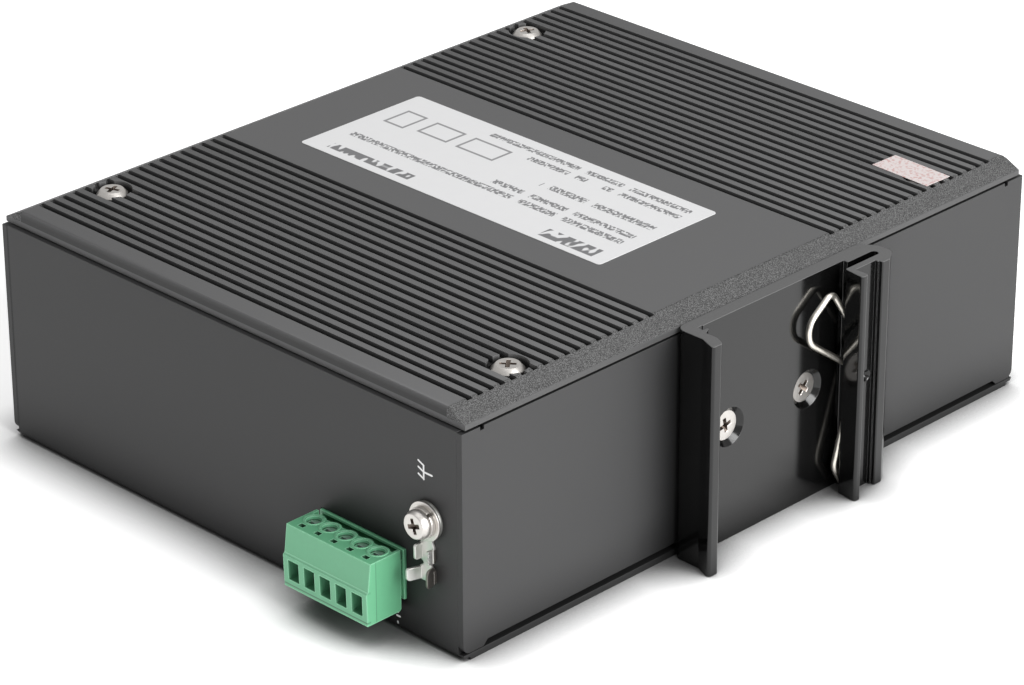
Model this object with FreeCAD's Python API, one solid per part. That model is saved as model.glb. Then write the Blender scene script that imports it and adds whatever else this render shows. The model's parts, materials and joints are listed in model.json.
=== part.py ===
"""Eight-port industrial network switch for a 35 mm DIN rail, lying on its side.

Units are millimetres.  The origin is the centre of the bracket's rail seat.
+X points out of the back of the housing towards the rail, +Y runs along the
long side away from the power terminal, +Z points up through the finned cover.
"""

import FreeCAD, Part
import math
import os

V = FreeCAD.Vector

# ---------------------------------------------------------------- housing
BODY_DEPTH = 115.0          # front panel face to rear panel face, along X
BODY_LENGTH = 142.0         # end wall to end wall, along Y
WRAP_HEIGHT = 42.0          # base plate underside to the open rim, along Z
SHEET = 1.2                 # steel sheet of the wrap and both panels
WRAP_BEND = 1.6             # outer radius of the wrap's two folds
PANEL_GAP = 0.15            # daylight between panel edges and their neighbours
PANEL_FLANGE = 11.5         # length of the panels' folded side flanges
PANEL_LIP = 3.2             # stiffening folds along the panels' long edges
PANEL_TAB = 4.6             # width of the lower corner tabs of a panel
PANEL_RISE = 1.0            # how much higher the middle of the lower edge sits
PANEL_CORNER = 1.6          # radius of the panels' lower corners
FRONT_CLIP = (2.7, 1.4)     # clipped lower corners of the end walls, X and Z
REAR_CLIP = (1.2, 0.6)
NOTCH_WIDTH = 0.9           # relief notches in the panels' upper edge
NOTCH_DEPTH = 0.7

# ---------------------------------------------------------------- finned cover
COVER_GAP = 0.2             # shadow line between cover and rim
COVER_THICKNESS = 2.9
COVER_INSET_X = 0.15        # cover edge behind the panel faces
COVER_INSET_Y = 0.9         # cover edge inside the end walls
COVER_LIP = 0.95            # plain vertical lip under the end bevels
COVER_BEVEL = 4.0           # run of the bevel along X
COVER_ROUND = 0.8           # rounding of the two long top edges
GROOVE_PITCH = 2.5
GROOVE_WIDTH = 1.2
GROOVE_DEPTH = 1.3
GROOVE_FIRST = 22.9         # first groove from the middle, each way
GROOVE_EDGE = 4.7           # last groove to the cover's long edge, at least
GROOVE_RUN_OUT = 0.4        # how far the grooves run into the end bevels
COVER_SCREW_X = 8.1         # screw line behind the panel faces
COVER_SCREW_Y = 18.6        # screw line inside the end walls
COVER_POCKET_R = 3.6
COVER_POCKET_FLOOR = 1.15   # metal left under a screw head

# ---------------------------------------------------------------- DIN bracket
BRACKET_RISE = 1.4          # extrusion longer than the wrap is high
SEAT_RISE = 2.6             # rail seat above the rear panel
RAIL_WIDTH = 35.0
RAIL_PLAY = 2.0             # rail width to undercut and stop
RAIL_LIP = 1.0              # thickness of the rail's edge
UNDERCUT_DEPTH = 1.0        # how far the fixed hook reaches over the rail
UNDERCUT_SINK = 0.15        # undercut floor below the seat
RAIL_CLEAR = 0.25           # undercut above the rail's edge
UNDERCUT_LIP = 1.05         # height of the lip over the undercut
HOOK_ROOT = 2.5             # metal behind the undercut
HOOK_BACK = 2.0             # thickness of the hook above the undercut
HOOK_BEND = 3.4             # outward bend of the hook above the seat
HOOK_REACH = 6.9            # hook tips above the seat
HOOK_TIP = 2.5              # thickness of the fixed hook's tip
HOOK_FLARE = 1.4            # outward lean of the fixed hook
SLOT_WIDTH = 1.6            # slot that carries the wire spring
SLOT_DEPTH = 6.7            # slot beyond the rail stop
ARM_THICKNESS = 1.3
ARM_OVERHANG = 2.45         # arm in front of the rail stop
LIP_ROOT = 1.0
LIP_TIP = 1.65
LIP_LEAN = 0.55
TURN_WALL = 2.1             # metal round the closed end of the slot
RIDGE_START = 2.85          # stepped boss in front of the slot's closed end
RIDGE_STEP = (0.65, 0.3)    # height and tread of its first step
RIDGE_RISE = 1.4
RIDGE_WIDTH = 1.9
EDGE_R = 0.3                # small roundings of the extrusion
TIP_R = 0.5                 # rounding of the hook tips
BLEND_R = 0.8               # rounding in the hooks' outer corners
BACK_R = 1.8                # back corner behind the fixed hook
TURN_R = 4.2                # back corner round the slot's closed end
TURN_FRONT = (0.9, 1.8)     # where the round end leaves the arm's plane, radius there
BRACKET_SCREW_PITCH = 20.0
BRACKET_HOLE_R = 1.7
STAKE_R = 1.1
STAKE_OUT = 2.5             # stake mark outward of the rail stop
STAKE_DEPTH = 0.7

# ---------------------------------------------------------------- wire spring
WIRE_R = 0.5
# bends above the screw line: outward of the rail stop, down from the top, radius
SPRING_UPPER = [(1.0, 13.3, 0.0), (-4.75, 3.6, 1.3), (-13.1, 9.8, 3.9)]
# bends below it: outward of the rail stop, up from the base, radius
SPRING_LOWER = [(2.2, 22.5, 1.2), (-3.0, 4.9, 3.0), (-0.3, 0.8, 0.0)]

# ---------------------------------------------------------------- fasteners
M3_R = 1.5
M3_CLEAR = 0.15             # radial clearance of an M3 screw in a plain hole
THREAD_CLEAR = 0.04         # radial clearance of a screw in its tapped hole
PAN_HEAD_R = 2.85
PAN_HEAD_H = 1.6
PAN_RIM = 0.72              # straight part of a pan head's side
PAN_CROWN_R = 2.05          # radius of a pan head's flat top
FLAT_HEAD_R = 2.75
CROSS_LENGTH = 3.0
CROSS_WIDTH = 0.75
CROSS_DEPTH = 1.1
CROSS_POINT = 1.2           # length of the recess at its bottom
COVER_SCREW_LENGTH = 8.0
BRACKET_SCREW_LENGTH = 7.0
BRACKET_HEAD_SINK = 0.9     # screw head below the seat
NUT_R = 2.9
NUT_HEIGHT = 3.0
EARTH_SCREW_LENGTH = 7.0
EARTH_SCREW_TURN = 18.0      # degrees
EARTH_HEAD = (2.6, 2.2)      # radius of the earth screw's head, and of its flat top

# ---------------------------------------------------------------- board
BOARD_THICKNESS = 1.6
BOARD_LIFT = 4.0            # standoff height
BOARD_MARGIN = 2.2          # board edge to the inside of the rear panel
BOARD_FRONT = 0.3           # board edge to the inside of the front panel
BOARD_SIDE = 1.1            # board edge to the panels' side flanges
STANDOFF_R = 3.0
POST_FLATS = 5.5            # across the flats of the corner posts
POST_STUD = 5.0
BOARD_SCREW_LENGTH = 4.5
MID_STANDOFF_X = -10.0      # middle standoffs, from the middle of the housing
CHIP_SIZE = 24.0
CHIP_HEIGHT = 1.6
CHIP_CLIP = 2.0
SINK_SIZE = 26.0
SINK_HEIGHT = 10.0
SINK_BASE = 2.2
SINK_FINS = 7
SINK_FIN = 1.1
MAGNETIC_LENGTH = 17.0
MAGNETIC_WIDTH = 12.0
MAGNETIC_HEIGHT = 6.2
MAGNETIC_COUNT = 4
MAGNETIC_GAP = 2.4          # between neighbouring transformers
MAGNETIC_BACK = 5.0         # behind the jack block
SINK_BACK = 4.0             # heat sink behind the transformers
CAPACITOR_R = 5.0
CAPACITOR_HEIGHT = 12.5
CAPACITOR_COUNT = 3
CAPACITOR_GAP = 2.0
SUPPLY_INSET = 12.5         # capacitors and choke behind the terminal's pins
COIL_SIZE = 12.0
COIL_HEIGHT = 7.0
COIL_CHAMFER = 2.0
COIL_GAP = 5.0
LED_R = 1.45
LED_COUNT = 4
LED_PITCH = 5.0
LED_PROUD = 0.4
LED_LIFT = 1.2              # light's dome above the board
LED_STEM = 3.0              # round part behind the panel
LED_BASE = 4.0              # square foot on the board
LED_SHOULDER = 0.45         # square foot beyond the round part
LED_GAP = 6.0               # first light beside the jack block

# ---------------------------------------------------------------- jack block
JACK_COLUMNS = 4
JACK_ROWS = 2
JACK_PITCH = 14.0
JACK_ROW_PITCH = 13.2
JACK_DEPTH = 26.0
JACK_MARGIN = 0.9           # block edge beyond the outer cells
JACK_GAP = 2.3              # block to the corner post beside it
JACK_PROUD = 0.4            # shield in front of the panel
SHIELD = 0.3
CUTOUT_CLEAR = 0.35
SOCKET_WIDTH = 11.8
SOCKET_HEIGHT = 7.0
SOCKET_DEPTH = 15.0
LATCH_WIDTH = 6.2
LATCH_HEIGHT = 1.9
KEY_WIDTH = 3.4
KEY_HEIGHT = 1.3
CONTACT_PITCH = 1.02
CONTACT_COUNT = 8
CONTACT_THICK = 0.4
CONTACT_START = 4.0         # behind the insulator's face
CONTACT_END = 12.0
CONTACT_RISE = 2.6

# ---------------------------------------------------------------- terminal
POLES = 5
POLE_PITCH = 3.81
TERMINAL_SIDE = 0.5         # plastic beyond the outer cells
TERMINAL_INSET = 13.3       # terminal's near side, in from the rear face
HEADER_HEIGHT = 9.25
HEADER_DEPTH = 9.0
HEADER_PROUD = 0.45
HEADER_WALL = 0.5
HEADER_BACK = 1.6
PIN_REACH = 5.0             # pins in front of the header's back wall
PIN_DROP = 1.2              # pins' bend behind the header
PIN_LOW = 0.6               # pin row below the header's middle
PIN_CLEAR = 0.1
HEADER_CLEAR = 0.15         # header in the wall's cut-out, plug in the header
PIN_SIZE = 0.8
PLUG_BACK = 0.7             # gap between header rim and plug body
PLUG_REACH = 8.95           # plug face in front of the end wall
PLUG_LEDGE = (0.4, 0.4)     # sloped ledge over the wire entries, depth and height
PLUG_SLOPE = 0.6            # lean of the upper face
PLUG_UNDER = 0.2            # lean of the face round the wire entries
PLUG_ENTRY_H = 5.9          # height of the wire-entry block
PLUG_DROP = 1.8             # wire-entry block below the header
PLUG_TOP_RISE = 0.25        # plug top above the header top
PLUG_NOSE = 6.0             # plug inside the header
PLUG_TOE = (0.4, 0.3)       # chamfer at the plug's lower back edge
PLUG_CHEEK = 0.55           # end walls beside the pockets
POCKET_REACH = 2.5          # pockets in the top's back edge, from the end wall
POCKET_DEPTH = 2.4
COLLAR_R = 2.05             # round collars of the screw wells
ENTRY_WIDTH = 2.5
ENTRY_HEIGHT = 3.7
ENTRY_DEPTH = 3.0
ENTRY_RISE = 3.4            # middle of the wire entries above the plug's underside
SCREW_WELL_R = 1.35
SCREW_WELL_DEPTH = 2.6
SCREW_WELL_REACH = 4.0
TEST_SLOT = (1.2, 0.9, 1.4)  # width, length, depth
TEST_SLOT_REACH = 6.65
CAGE = (3.0, 3.6, 3.9)       # width, depth, height of a clamp cage
CAGE_WALL = 0.4
CAGE_CLEAR = 0.05
CLAMP_R = 1.0
CLAMP_LENGTH = 1.4
CLAMP_HEAD_CLEAR = 0.12
CLAMP_SLOT = (0.5, 0.6)     # width, depth

# ---------------------------------------------------------------- earth point
EARTH_X = 7.8               # in from the rear face
EARTH_Z = 23.7              # above the base
WASHER_R = 3.5
WASHER_THICK = 0.5
LOCK_R = 2.75
LOCK_THICK = 0.8
LOCK_GAP = 0.5
LOCK_TURN = 40.0
LUG_THICK = 0.6
LUG_RING_R = 3.3
LUG_NECK = 2.4
LUG_REACH = 11.4            # ring centre to the end of the lug
LUG_STEP = 1.5              # between the barrel and the grip
BARREL_LENGTH = 2.7
BARREL_WIDTH = 3.1
BARREL_WING = 1.6
GRIP_LENGTH = 2.6
GRIP_WIDTH = 4.0
GRIP_WING = 2.0
GRIP_FLARE = 0.7

# ---------------------------------------------------------------- labels
LABEL_THICK = 0.1
LABEL_X = 75.0
LABEL_Y = 30.0
LABEL_SHIFT = -3.4          # label centre from the middle of the cover
SEAL_X = 13.0
SEAL_Y = 6.2
SEAL_TURN = -2.0            # degrees
SEAL_SHIFT = 3.5            # seal centre in front of the screw it covers
LABEL_CORNER = 0.8

# ---------------------------------------------------------------- derived
REAR_X = -SEAT_RISE
FRONT_X = REAR_X - BODY_DEPTH
MID_X = (REAR_X + FRONT_X) / 2.0
END_Y = BODY_LENGTH / 2.0
BRACKET_HEIGHT = WRAP_HEIGHT + BRACKET_RISE
FLOOR_Z = -BRACKET_HEIGHT / 2.0
RIM_Z = FLOOR_Z + WRAP_HEIGHT
COVER_Z = RIM_Z + COVER_GAP
COVER_TOP = COVER_Z + COVER_THICKNESS
POCKET_Z = COVER_Z + COVER_POCKET_FLOOR
BOARD_Z = FLOOR_Z + SHEET + BOARD_LIFT
BOARD_TOP = BOARD_Z + BOARD_THICKNESS
STOP_Y = (RAIL_WIDTH + RAIL_PLAY) / 2.0
ARM_LOW = RAIL_LIP + SLOT_WIDTH
ARM_FACE = ARM_LOW + ARM_THICKNESS
COVER_SCREWS = [
    (x, y)
    for x in (FRONT_X + COVER_SCREW_X, REAR_X - COVER_SCREW_X)
    for y in (-END_Y + COVER_SCREW_Y, END_Y - COVER_SCREW_Y)
]
MID_STANDOFFS = [(MID_X + MID_STANDOFF_X, y * (END_Y - COVER_SCREW_Y)) for y in (-1, 1)]
BRACKET_SCREWS = [-BRACKET_SCREW_PITCH / 2.0, BRACKET_SCREW_PITCH / 2.0]
COVER_SIDE = END_Y - COVER_INSET_Y
GROOVE_COUNT = int((COVER_SIDE - GROOVE_EDGE - GROOVE_FIRST) / GROOVE_PITCH + 0.001) + 1
POST_CORNER = POST_FLATS / math.sqrt(3.0)
JACK_WIDTH = JACK_COLUMNS * JACK_PITCH + 2 * JACK_MARGIN
JACK_HEIGHT = JACK_ROWS * JACK_ROW_PITCH + 2 * JACK_MARGIN
JACK_Y = END_Y - COVER_SCREW_Y - POST_CORNER - JACK_GAP - JACK_WIDTH / 2.0
JACK_FACE = FRONT_X - JACK_PROUD + SHIELD
JACK_STEPS = SOCKET_HEIGHT + LATCH_HEIGHT + KEY_HEIGHT
TERMINAL_WIDTH = POLES * POLE_PITCH + 2 * TERMINAL_SIDE
TERMINAL_MID = REAR_X - TERMINAL_INSET - TERMINAL_WIDTH / 2.0
POLE_X = [TERMINAL_MID + (i - (POLES - 1) / 2.0) * POLE_PITCH for i in range(POLES)]
HEADER_TOP = BOARD_TOP + HEADER_HEIGHT
HEADER_FRONT = -END_Y - HEADER_PROUD
PIN_Z = (BOARD_TOP + HEADER_TOP) / 2.0 - PIN_LOW
PIN_BACK = HEADER_FRONT + HEADER_DEPTH + PIN_DROP
PLUG_FRONT = -END_Y - PLUG_REACH
PLUG_TOP = HEADER_TOP + PLUG_TOP_RISE
PLUG_LOW = BOARD_TOP - PLUG_DROP
ENTRY_Z = PLUG_LOW + ENTRY_RISE
WELL_Y = -END_Y - SCREW_WELL_REACH
MAGNETIC_X = FRONT_X + JACK_DEPTH + MAGNETIC_BACK
CHIP = V(MAGNETIC_X + MAGNETIC_LENGTH + SINK_BACK + SINK_SIZE / 2.0, JACK_Y, BOARD_TOP)
EARTH = V(REAR_X - EARTH_X, -END_Y, FLOOR_Z + EARTH_Z)
WASHER_Y = EARTH.y - LUG_THICK
LOCK_Y = WASHER_Y - WASHER_THICK


# ---------------------------------------------------------------- helpers
def block(x0, x1, y0, y1, z0, z1):
    """Box between two values on each axis."""
    return Part.makeBox(x1 - x0, y1 - y0, z1 - z0, V(x0, y0, z0))


def rod(radius, start, along, length):
    """Cylinder from a start point along a direction."""
    return Part.makeCylinder(radius, length, start, along)


def prism(points, along):
    """Extrude a closed polygon of points along a vector."""
    return Part.Face(Part.makePolygon(points + [points[0]])).extrude(along)


def rounded(corners, closed=True):
    """Wire through (point, radius) corners, with a tangent arc at each radius."""
    count = len(corners)
    starts, ends, edges = [], [], []
    for i, (point, radius) in enumerate(corners):
        inner = closed or 0 < i < count - 1
        if radius <= 0 or not inner:
            starts.append(point)
            ends.append(point)
            continue
        before = (corners[i - 1][0] - point).normalize()
        after = (corners[(i + 1) % count][0] - point).normalize()
        half = before.getAngle(after) / 2.0
        reach = radius / math.tan(half)
        starts.append(point + before * reach)
        ends.append(point + after * reach)
        centre = point + (before + after).normalize() * (radius / math.sin(half))
        middle = centre + (point - centre).normalize() * radius
        edges.append((i, Part.Arc(starts[i], middle, ends[i]).toShape()))
    arcs = dict(edges)
    path = []
    for i in range(count):
        if i in arcs:
            path.append(arcs[i])
        if i + 1 < count or closed:
            path.append(Part.LineSegment(ends[i], starts[(i + 1) % count]).toShape())
    return Part.Wire(path)


def joined(shapes):
    """Fuse shapes into one solid."""
    return shapes[0].fuse(shapes[1:]).removeSplitter()


def cross_recess(centre, outward, turn=0.0):
    """Tapered cross-shaped driver recess below a head's face."""
    bars = []
    for angle in (turn, turn + 90.0):
        wide = CROSS_LENGTH / 2.0
        low = CROSS_POINT / 2.0
        side = -CROSS_WIDTH / 2.0
        outline = [
            V(-wide, side, 0.1),
            V(wide, side, 0.1),
            V(low, side, -CROSS_DEPTH),
            V(-low, side, -CROSS_DEPTH),
        ]
        bar = prism(outline, V(0, CROSS_WIDTH, 0))
        bar.rotate(V(0, 0, 0), V(0, 0, 1), angle)
        bars.append(bar)
    tool = bars[0].fuse(bars[1])
    tool.Placement = FreeCAD.Placement(centre, FreeCAD.Rotation(V(0, 0, 1), outward))
    return tool


def pan_screw(seat, outward, length, turn=0.0, head=(PAN_HEAD_R, PAN_CROWN_R)):
    """Pan-head cross screw whose head sits on a seat point."""
    rim_r, crown_r = head
    low = rod(rim_r, seat, outward, PAN_RIM)
    crown = Part.makeCone(rim_r, crown_r, PAN_HEAD_H - PAN_RIM, seat + outward * PAN_RIM, outward)
    shank = rod(M3_R, seat, outward * -1, length)
    top = seat + outward * PAN_HEAD_H
    return joined([low, crown, shank]).cut(cross_recess(top, outward, turn))


# ---------------------------------------------------------------- housing parts
def wrap_profile(x, offset, radius):
    """U outline of the folded wrap at one X, moved in by an offset."""
    side, low, top = END_Y - offset, FLOOR_Z + offset, RIM_Z
    return [
        (V(x, -side, top), 0.0),
        (V(x, -side, low), radius),
        (V(x, side, low), radius),
        (V(x, side, top), 0.0),
    ]


def header_cutout():
    """Opening in the end wall for the terminal header."""
    half = TERMINAL_WIDTH / 2.0 + HEADER_CLEAR
    low, high = BOARD_TOP - HEADER_CLEAR, HEADER_TOP + HEADER_CLEAR
    return block(TERMINAL_MID - half, TERMINAL_MID + half, -END_Y - 1, -END_Y + SHEET + 1, low, high)


def housing_wrap():
    """Folded sheet: two end walls and the base, with lips under the panels."""
    outer = Part.Face(rounded(wrap_profile(FRONT_X, 0.0, WRAP_BEND)))
    inner_radius = max(WRAP_BEND - SHEET, 0.2)
    inner = Part.Face(rounded(wrap_profile(FRONT_X, SHEET, inner_radius)))
    shell = outer.extrude(V(BODY_DEPTH, 0, 0)).cut(inner.extrude(V(BODY_DEPTH, 0, 0)))
    for x0 in (FRONT_X, REAR_X - SHEET):
        lip_top = FLOOR_Z + SHEET
        shell = shell.cut(block(x0, x0 + SHEET, -END_Y, END_Y, lip_top, RIM_Z + 1))
    for x, into, clip in ((FRONT_X, 1, FRONT_CLIP), (REAR_X, -1, REAR_CLIP)):
        corner = [
            V(x, -END_Y, FLOOR_Z),
            V(x + into * clip[0], -END_Y, FLOOR_Z),
            V(x, -END_Y, FLOOR_Z + clip[1]),
        ]
        for y in (-END_Y, END_Y - WRAP_BEND):
            shell = shell.cut(prism([p + V(0, y + END_Y, 0) for p in corner], V(0, WRAP_BEND, 0)))
    return shell.cut(header_cutout()).cut(earth_hole(SHEET))


def earth_hole(depth):
    """Clearance hole of the earth screw, from the end wall's face to a depth."""
    return rod(M3_R + M3_CLEAR, EARTH + V(0, -1, 0), V(0, 1, 0), depth + 2)


def panel_blank(face_x, inward):
    """Panel sheet with folded side flanges; inward is +1 or -1 along X."""
    low = FLOOR_Z + SHEET + PANEL_GAP
    high = RIM_Z - PANEL_GAP
    step = END_Y - PANEL_TAB
    raised = low + PANEL_RISE
    outline = [
        (V(face_x, -END_Y, high), 0.0),
        (V(face_x, -END_Y, low), PANEL_CORNER),
        (V(face_x, -step, low), 0.0),
        (V(face_x, -step + PANEL_RISE, raised), 0.0),
        (V(face_x, step - PANEL_RISE, raised), 0.0),
        (V(face_x, step, low), 0.0),
        (V(face_x, END_Y, low), PANEL_CORNER),
        (V(face_x, END_Y, high), 0.0),
    ]
    sheet = Part.Face(rounded(outline)).extrude(V(inward * SHEET, 0, 0))
    back = face_x + inward * SHEET
    pieces = [sheet]
    for side in (-1, 1):
        y0, y1 = sorted((side * (END_Y - SHEET), side * (END_Y - 2 * SHEET)))
        x0, x1 = sorted((back, back + inward * PANEL_FLANGE))
        pieces.append(block(x0, x1, y0, y1, raised, high - NOTCH_DEPTH))
        x0, x1 = sorted((face_x, back))
        notch_y = side * step - NOTCH_WIDTH / 2.0
        notch = block(x0, x1, notch_y, notch_y + NOTCH_WIDTH, high - NOTCH_DEPTH, high)
        pieces[0] = pieces[0].cut(notch)
    x0, x1 = sorted((back, back + inward * PANEL_LIP))
    half = step - NOTCH_WIDTH
    pieces.append(block(x0, x1, -half, half, raised, raised + SHEET))
    pieces.append(block(x0, x1, -half, half, high - SHEET, high))
    return joined(pieces)


def rear_panel():
    """Back sheet that carries the DIN bracket."""
    panel = panel_blank(REAR_X, -1)
    for y in BRACKET_SCREWS:
        panel = panel.cut(rod(M3_R + M3_CLEAR, V(REAR_X - SHEET - 1, y, 0), V(1, 0, 0), SHEET + 2))
    return panel.cut(earth_hole(2 * SHEET))


def led_places():
    """Centres of the status lights along the front panel, as (y, z)."""
    z = BOARD_TOP + LED_LIFT + LED_R
    first = JACK_Y - JACK_WIDTH / 2.0 - LED_GAP
    return [(first - i * LED_PITCH, z) for i in range(LED_COUNT)]


def front_panel():
    """Front sheet with the jack cut-out and the holes of the status lights."""
    panel = panel_blank(FRONT_X, 1)
    half = JACK_WIDTH / 2.0 + CUTOUT_CLEAR
    low = BOARD_TOP - CUTOUT_CLEAR
    high = BOARD_TOP + JACK_HEIGHT + CUTOUT_CLEAR
    window = block(FRONT_X - 1, FRONT_X + SHEET + 1, JACK_Y - half, JACK_Y + half, low, high)
    panel = panel.cut(window)
    for y, z in led_places():
        panel = panel.cut(rod(LED_R + M3_CLEAR, V(FRONT_X - 1, y, z), V(1, 0, 0), SHEET + 2))
    return panel


# ---------------------------------------------------------------- cover
def cover_blank():
    """Cover plate with bevelled ends and rounded long edges."""
    x0, x1 = FRONT_X + COVER_INSET_X, REAR_X - COVER_INSET_X
    side = COVER_SIDE
    section = [
        (x0, COVER_Z),
        (x1, COVER_Z),
        (x1, COVER_Z + COVER_LIP),
        (x1 - COVER_BEVEL, COVER_TOP),
        (x0 + COVER_BEVEL, COVER_TOP),
        (x0, COVER_Z + COVER_LIP),
    ]
    plate = prism([V(x, -side, z) for x, z in section], V(0, 2 * side, 0))
    long_edges = [
        edge
        for edge in plate.Edges
        if abs(edge.CenterOfMass.z - COVER_TOP) < 0.01 and abs(abs(edge.CenterOfMass.y) - side) < 0.01
    ]
    return plate.makeFillet(COVER_ROUND, long_edges)


def cover_grooves():
    """The two groups of cooling grooves, closed at both ends."""
    inset = COVER_INSET_X + COVER_BEVEL - GROOVE_RUN_OUT
    x0 = FRONT_X + inset
    x1 = REAR_X - inset
    grooves = []
    for side in (-1, 1):
        for i in range(GROOVE_COUNT):
            y = side * (GROOVE_FIRST + i * GROOVE_PITCH)
            half = GROOVE_WIDTH / 2.0
            grooves.append(block(x0, x1, y - half, y + half, COVER_TOP - GROOVE_DEPTH, COVER_TOP + 1))
    return grooves


def finned_cover():
    """Aluminium side cover with its cooling grooves and screw pockets."""
    cover = cover_blank().cut(cover_grooves())
    for x, y in COVER_SCREWS:
        pocket = rod(COVER_POCKET_R, V(x, y, POCKET_Z), V(0, 0, 1), COVER_THICKNESS)
        hole = rod(M3_R + M3_CLEAR, V(x, y, COVER_Z - 1), V(0, 0, 1), COVER_THICKNESS + 2)
        cover = cover.cut(pocket).cut(hole)
    return cover


def cover_screws():
    """Four pan-head screws that hold the cover to the corner posts."""
    heads = [V(x, y, POCKET_Z) for x, y in COVER_SCREWS]
    turns = (20.0, 65.0, 40.0, 10.0)
    return [pan_screw(p, V(0, 0, 1), COVER_SCREW_LENGTH, t) for p, t in zip(heads, turns)]


# ---------------------------------------------------------------- bracket
def bracket_profile():
    """Closed outline of the extrusion in the XY plane, from the fixed hook round."""
    cut_y = -STOP_Y
    over_y = cut_y + UNDERCUT_DEPTH
    under_top = RAIL_LIP + RAIL_CLEAR
    lip_top = under_top + UNDERCUT_LIP
    root_y = cut_y - HOOK_ROOT
    inner_y = root_y + HOOK_BACK
    hook_y = root_y - HOOK_FLARE
    land = RAIL_LIP
    slot_end = STOP_Y + SLOT_DEPTH
    outer_y = slot_end + TURN_WALL
    lip_y = STOP_Y - ARM_OVERHANG
    tip_y = lip_y - LIP_LEAN
    ridge_y = slot_end - RIDGE_START
    step_y = ridge_y + RIDGE_STEP[1]
    boss = ARM_FACE + RIDGE_RISE
    turn_x, turn_r = ARM_LOW + TURN_FRONT[0], TURN_FRONT[1]
    slot_r = SLOT_WIDTH * 0.45
    points = [
        (-SEAT_RISE, root_y, BACK_R),
        (HOOK_BEND, root_y, BLEND_R),
        (HOOK_REACH, hook_y, TIP_R),
        (HOOK_REACH, hook_y + HOOK_TIP, BLEND_R),
        (HOOK_BEND + HOOK_FLARE, inner_y, BLEND_R),
        (lip_top, inner_y, EDGE_R),
        (under_top + EDGE_R, over_y, 0.0),
        (under_top, over_y, 0.0),
        (under_top, cut_y, EDGE_R),
        (-UNDERCUT_SINK, cut_y, EDGE_R),
        (-UNDERCUT_SINK, over_y + UNDERCUT_SINK, 0.0),
        (0.0, over_y + 2 * UNDERCUT_SINK, 0.0),
        (0.0, STOP_Y, EDGE_R),
        (land, STOP_Y, EDGE_R),
        (land, slot_end, slot_r),
        (ARM_LOW, slot_end, slot_r),
        (ARM_LOW, lip_y, EDGE_R),
        (HOOK_REACH, tip_y, TIP_R),
        (HOOK_REACH, tip_y + LIP_TIP, TIP_R),
        (ARM_FACE, lip_y + LIP_ROOT, EDGE_R),
        (ARM_FACE, ridge_y, 0.0),
        (ARM_FACE + RIDGE_STEP[0], ridge_y, 0.0),
        (ARM_FACE + RIDGE_STEP[0], step_y, 0.0),
        (boss, step_y, EDGE_R),
        (boss, step_y + RIDGE_WIDTH, TIP_R),
        (turn_x, outer_y, turn_r),
        (-SEAT_RISE, outer_y, TURN_R),
    ]
    return [(V(x, y, FLOOR_Z), radius) for x, y, radius in points]


def din_bracket():
    """Extruded DIN rail bracket with its countersunk holes and stake mark."""
    bracket = Part.Face(rounded(bracket_profile())).extrude(V(0, 0, BRACKET_HEIGHT))
    mouth_r = FLAT_HEAD_R + BRACKET_HEAD_SINK
    mouth_x = BRACKET_HOLE_R - mouth_r
    for y in BRACKET_SCREWS:
        hole = rod(BRACKET_HOLE_R, V(-SEAT_RISE - 1, y, 0), V(1, 0, 0), SEAT_RISE + 2)
        mouth = Part.makeCone(BRACKET_HOLE_R, mouth_r, -mouth_x, V(mouth_x, y, 0), V(1, 0, 0))
        bracket = bracket.cut(hole).cut(mouth)
    stake = V(ARM_FACE - STAKE_DEPTH, STOP_Y + STAKE_OUT, 0)
    return bracket.cut(Part.makeCone(STAKE_R / 2.0, STAKE_R, STAKE_DEPTH, stake, V(1, 0, 0)))


def spring_wire():
    """Bent wire spring that lies in the bracket's slot."""
    x = (RAIL_LIP + ARM_LOW) / 2.0
    top_z = FLOOR_Z + BRACKET_HEIGHT
    corners = [(V(x, STOP_Y + out, top_z - down), radius) for out, down, radius in SPRING_UPPER]
    corners += [(V(x, STOP_Y + out, FLOOR_Z + up), radius) for out, up, radius in SPRING_LOWER]
    path = rounded(corners, closed=False)
    start = corners[0][0]
    section = Part.Wire(Part.makeCircle(WIRE_R, start, corners[1][0] - start))
    return path.makePipeShell([section], True, True)


def bracket_screws():
    """Two countersunk screws through the bracket and the rear panel."""
    screws = []
    depth = FLAT_HEAD_R - M3_R
    for y, turn in zip(BRACKET_SCREWS, (12.0, 50.0)):
        face = V(-BRACKET_HEAD_SINK, y, 0)
        head = Part.makeCone(M3_R, FLAT_HEAD_R, depth, face - V(depth, 0, 0), V(1, 0, 0))
        length = BRACKET_SCREW_LENGTH
        shank = rod(M3_R, face - V(length, 0, 0), V(1, 0, 0), length - depth)
        screws.append(joined([head, shank]).cut(cross_recess(face, V(1, 0, 0), turn)))
    return screws


def press_nut(seat, inward):
    """Press-in nut behind a sheet, with its tapped hole."""
    body = rod(NUT_R, seat, inward, NUT_HEIGHT)
    return body.cut(rod(M3_R + THREAD_CLEAR, seat - inward, inward, NUT_HEIGHT + 2))


def bracket_nuts():
    """Press nuts on the inside of the rear panel."""
    return [press_nut(V(REAR_X - SHEET, y, 0), V(-1, 0, 0)) for y in BRACKET_SCREWS]


# ---------------------------------------------------------------- board and posts
def upright_bore(x, y, radius, low, high):
    """Cutting tool for a vertical hole that runs past two heights."""
    return rod(radius, V(x, y, low - 1), V(0, 0, 1), high - low + 2)


def main_board():
    """Circuit board on its standoffs."""
    x0 = FRONT_X + SHEET + BOARD_FRONT
    x1 = REAR_X - SHEET - BOARD_MARGIN
    side = END_Y - 2 * SHEET - BOARD_SIDE
    board = block(x0, x1, -side, side, BOARD_Z, BOARD_TOP)
    holes = [upright_bore(x, y, M3_R + M3_CLEAR, BOARD_Z, BOARD_TOP) for x, y in COVER_SCREWS + MID_STANDOFFS]
    return board.cut(holes)


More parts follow.
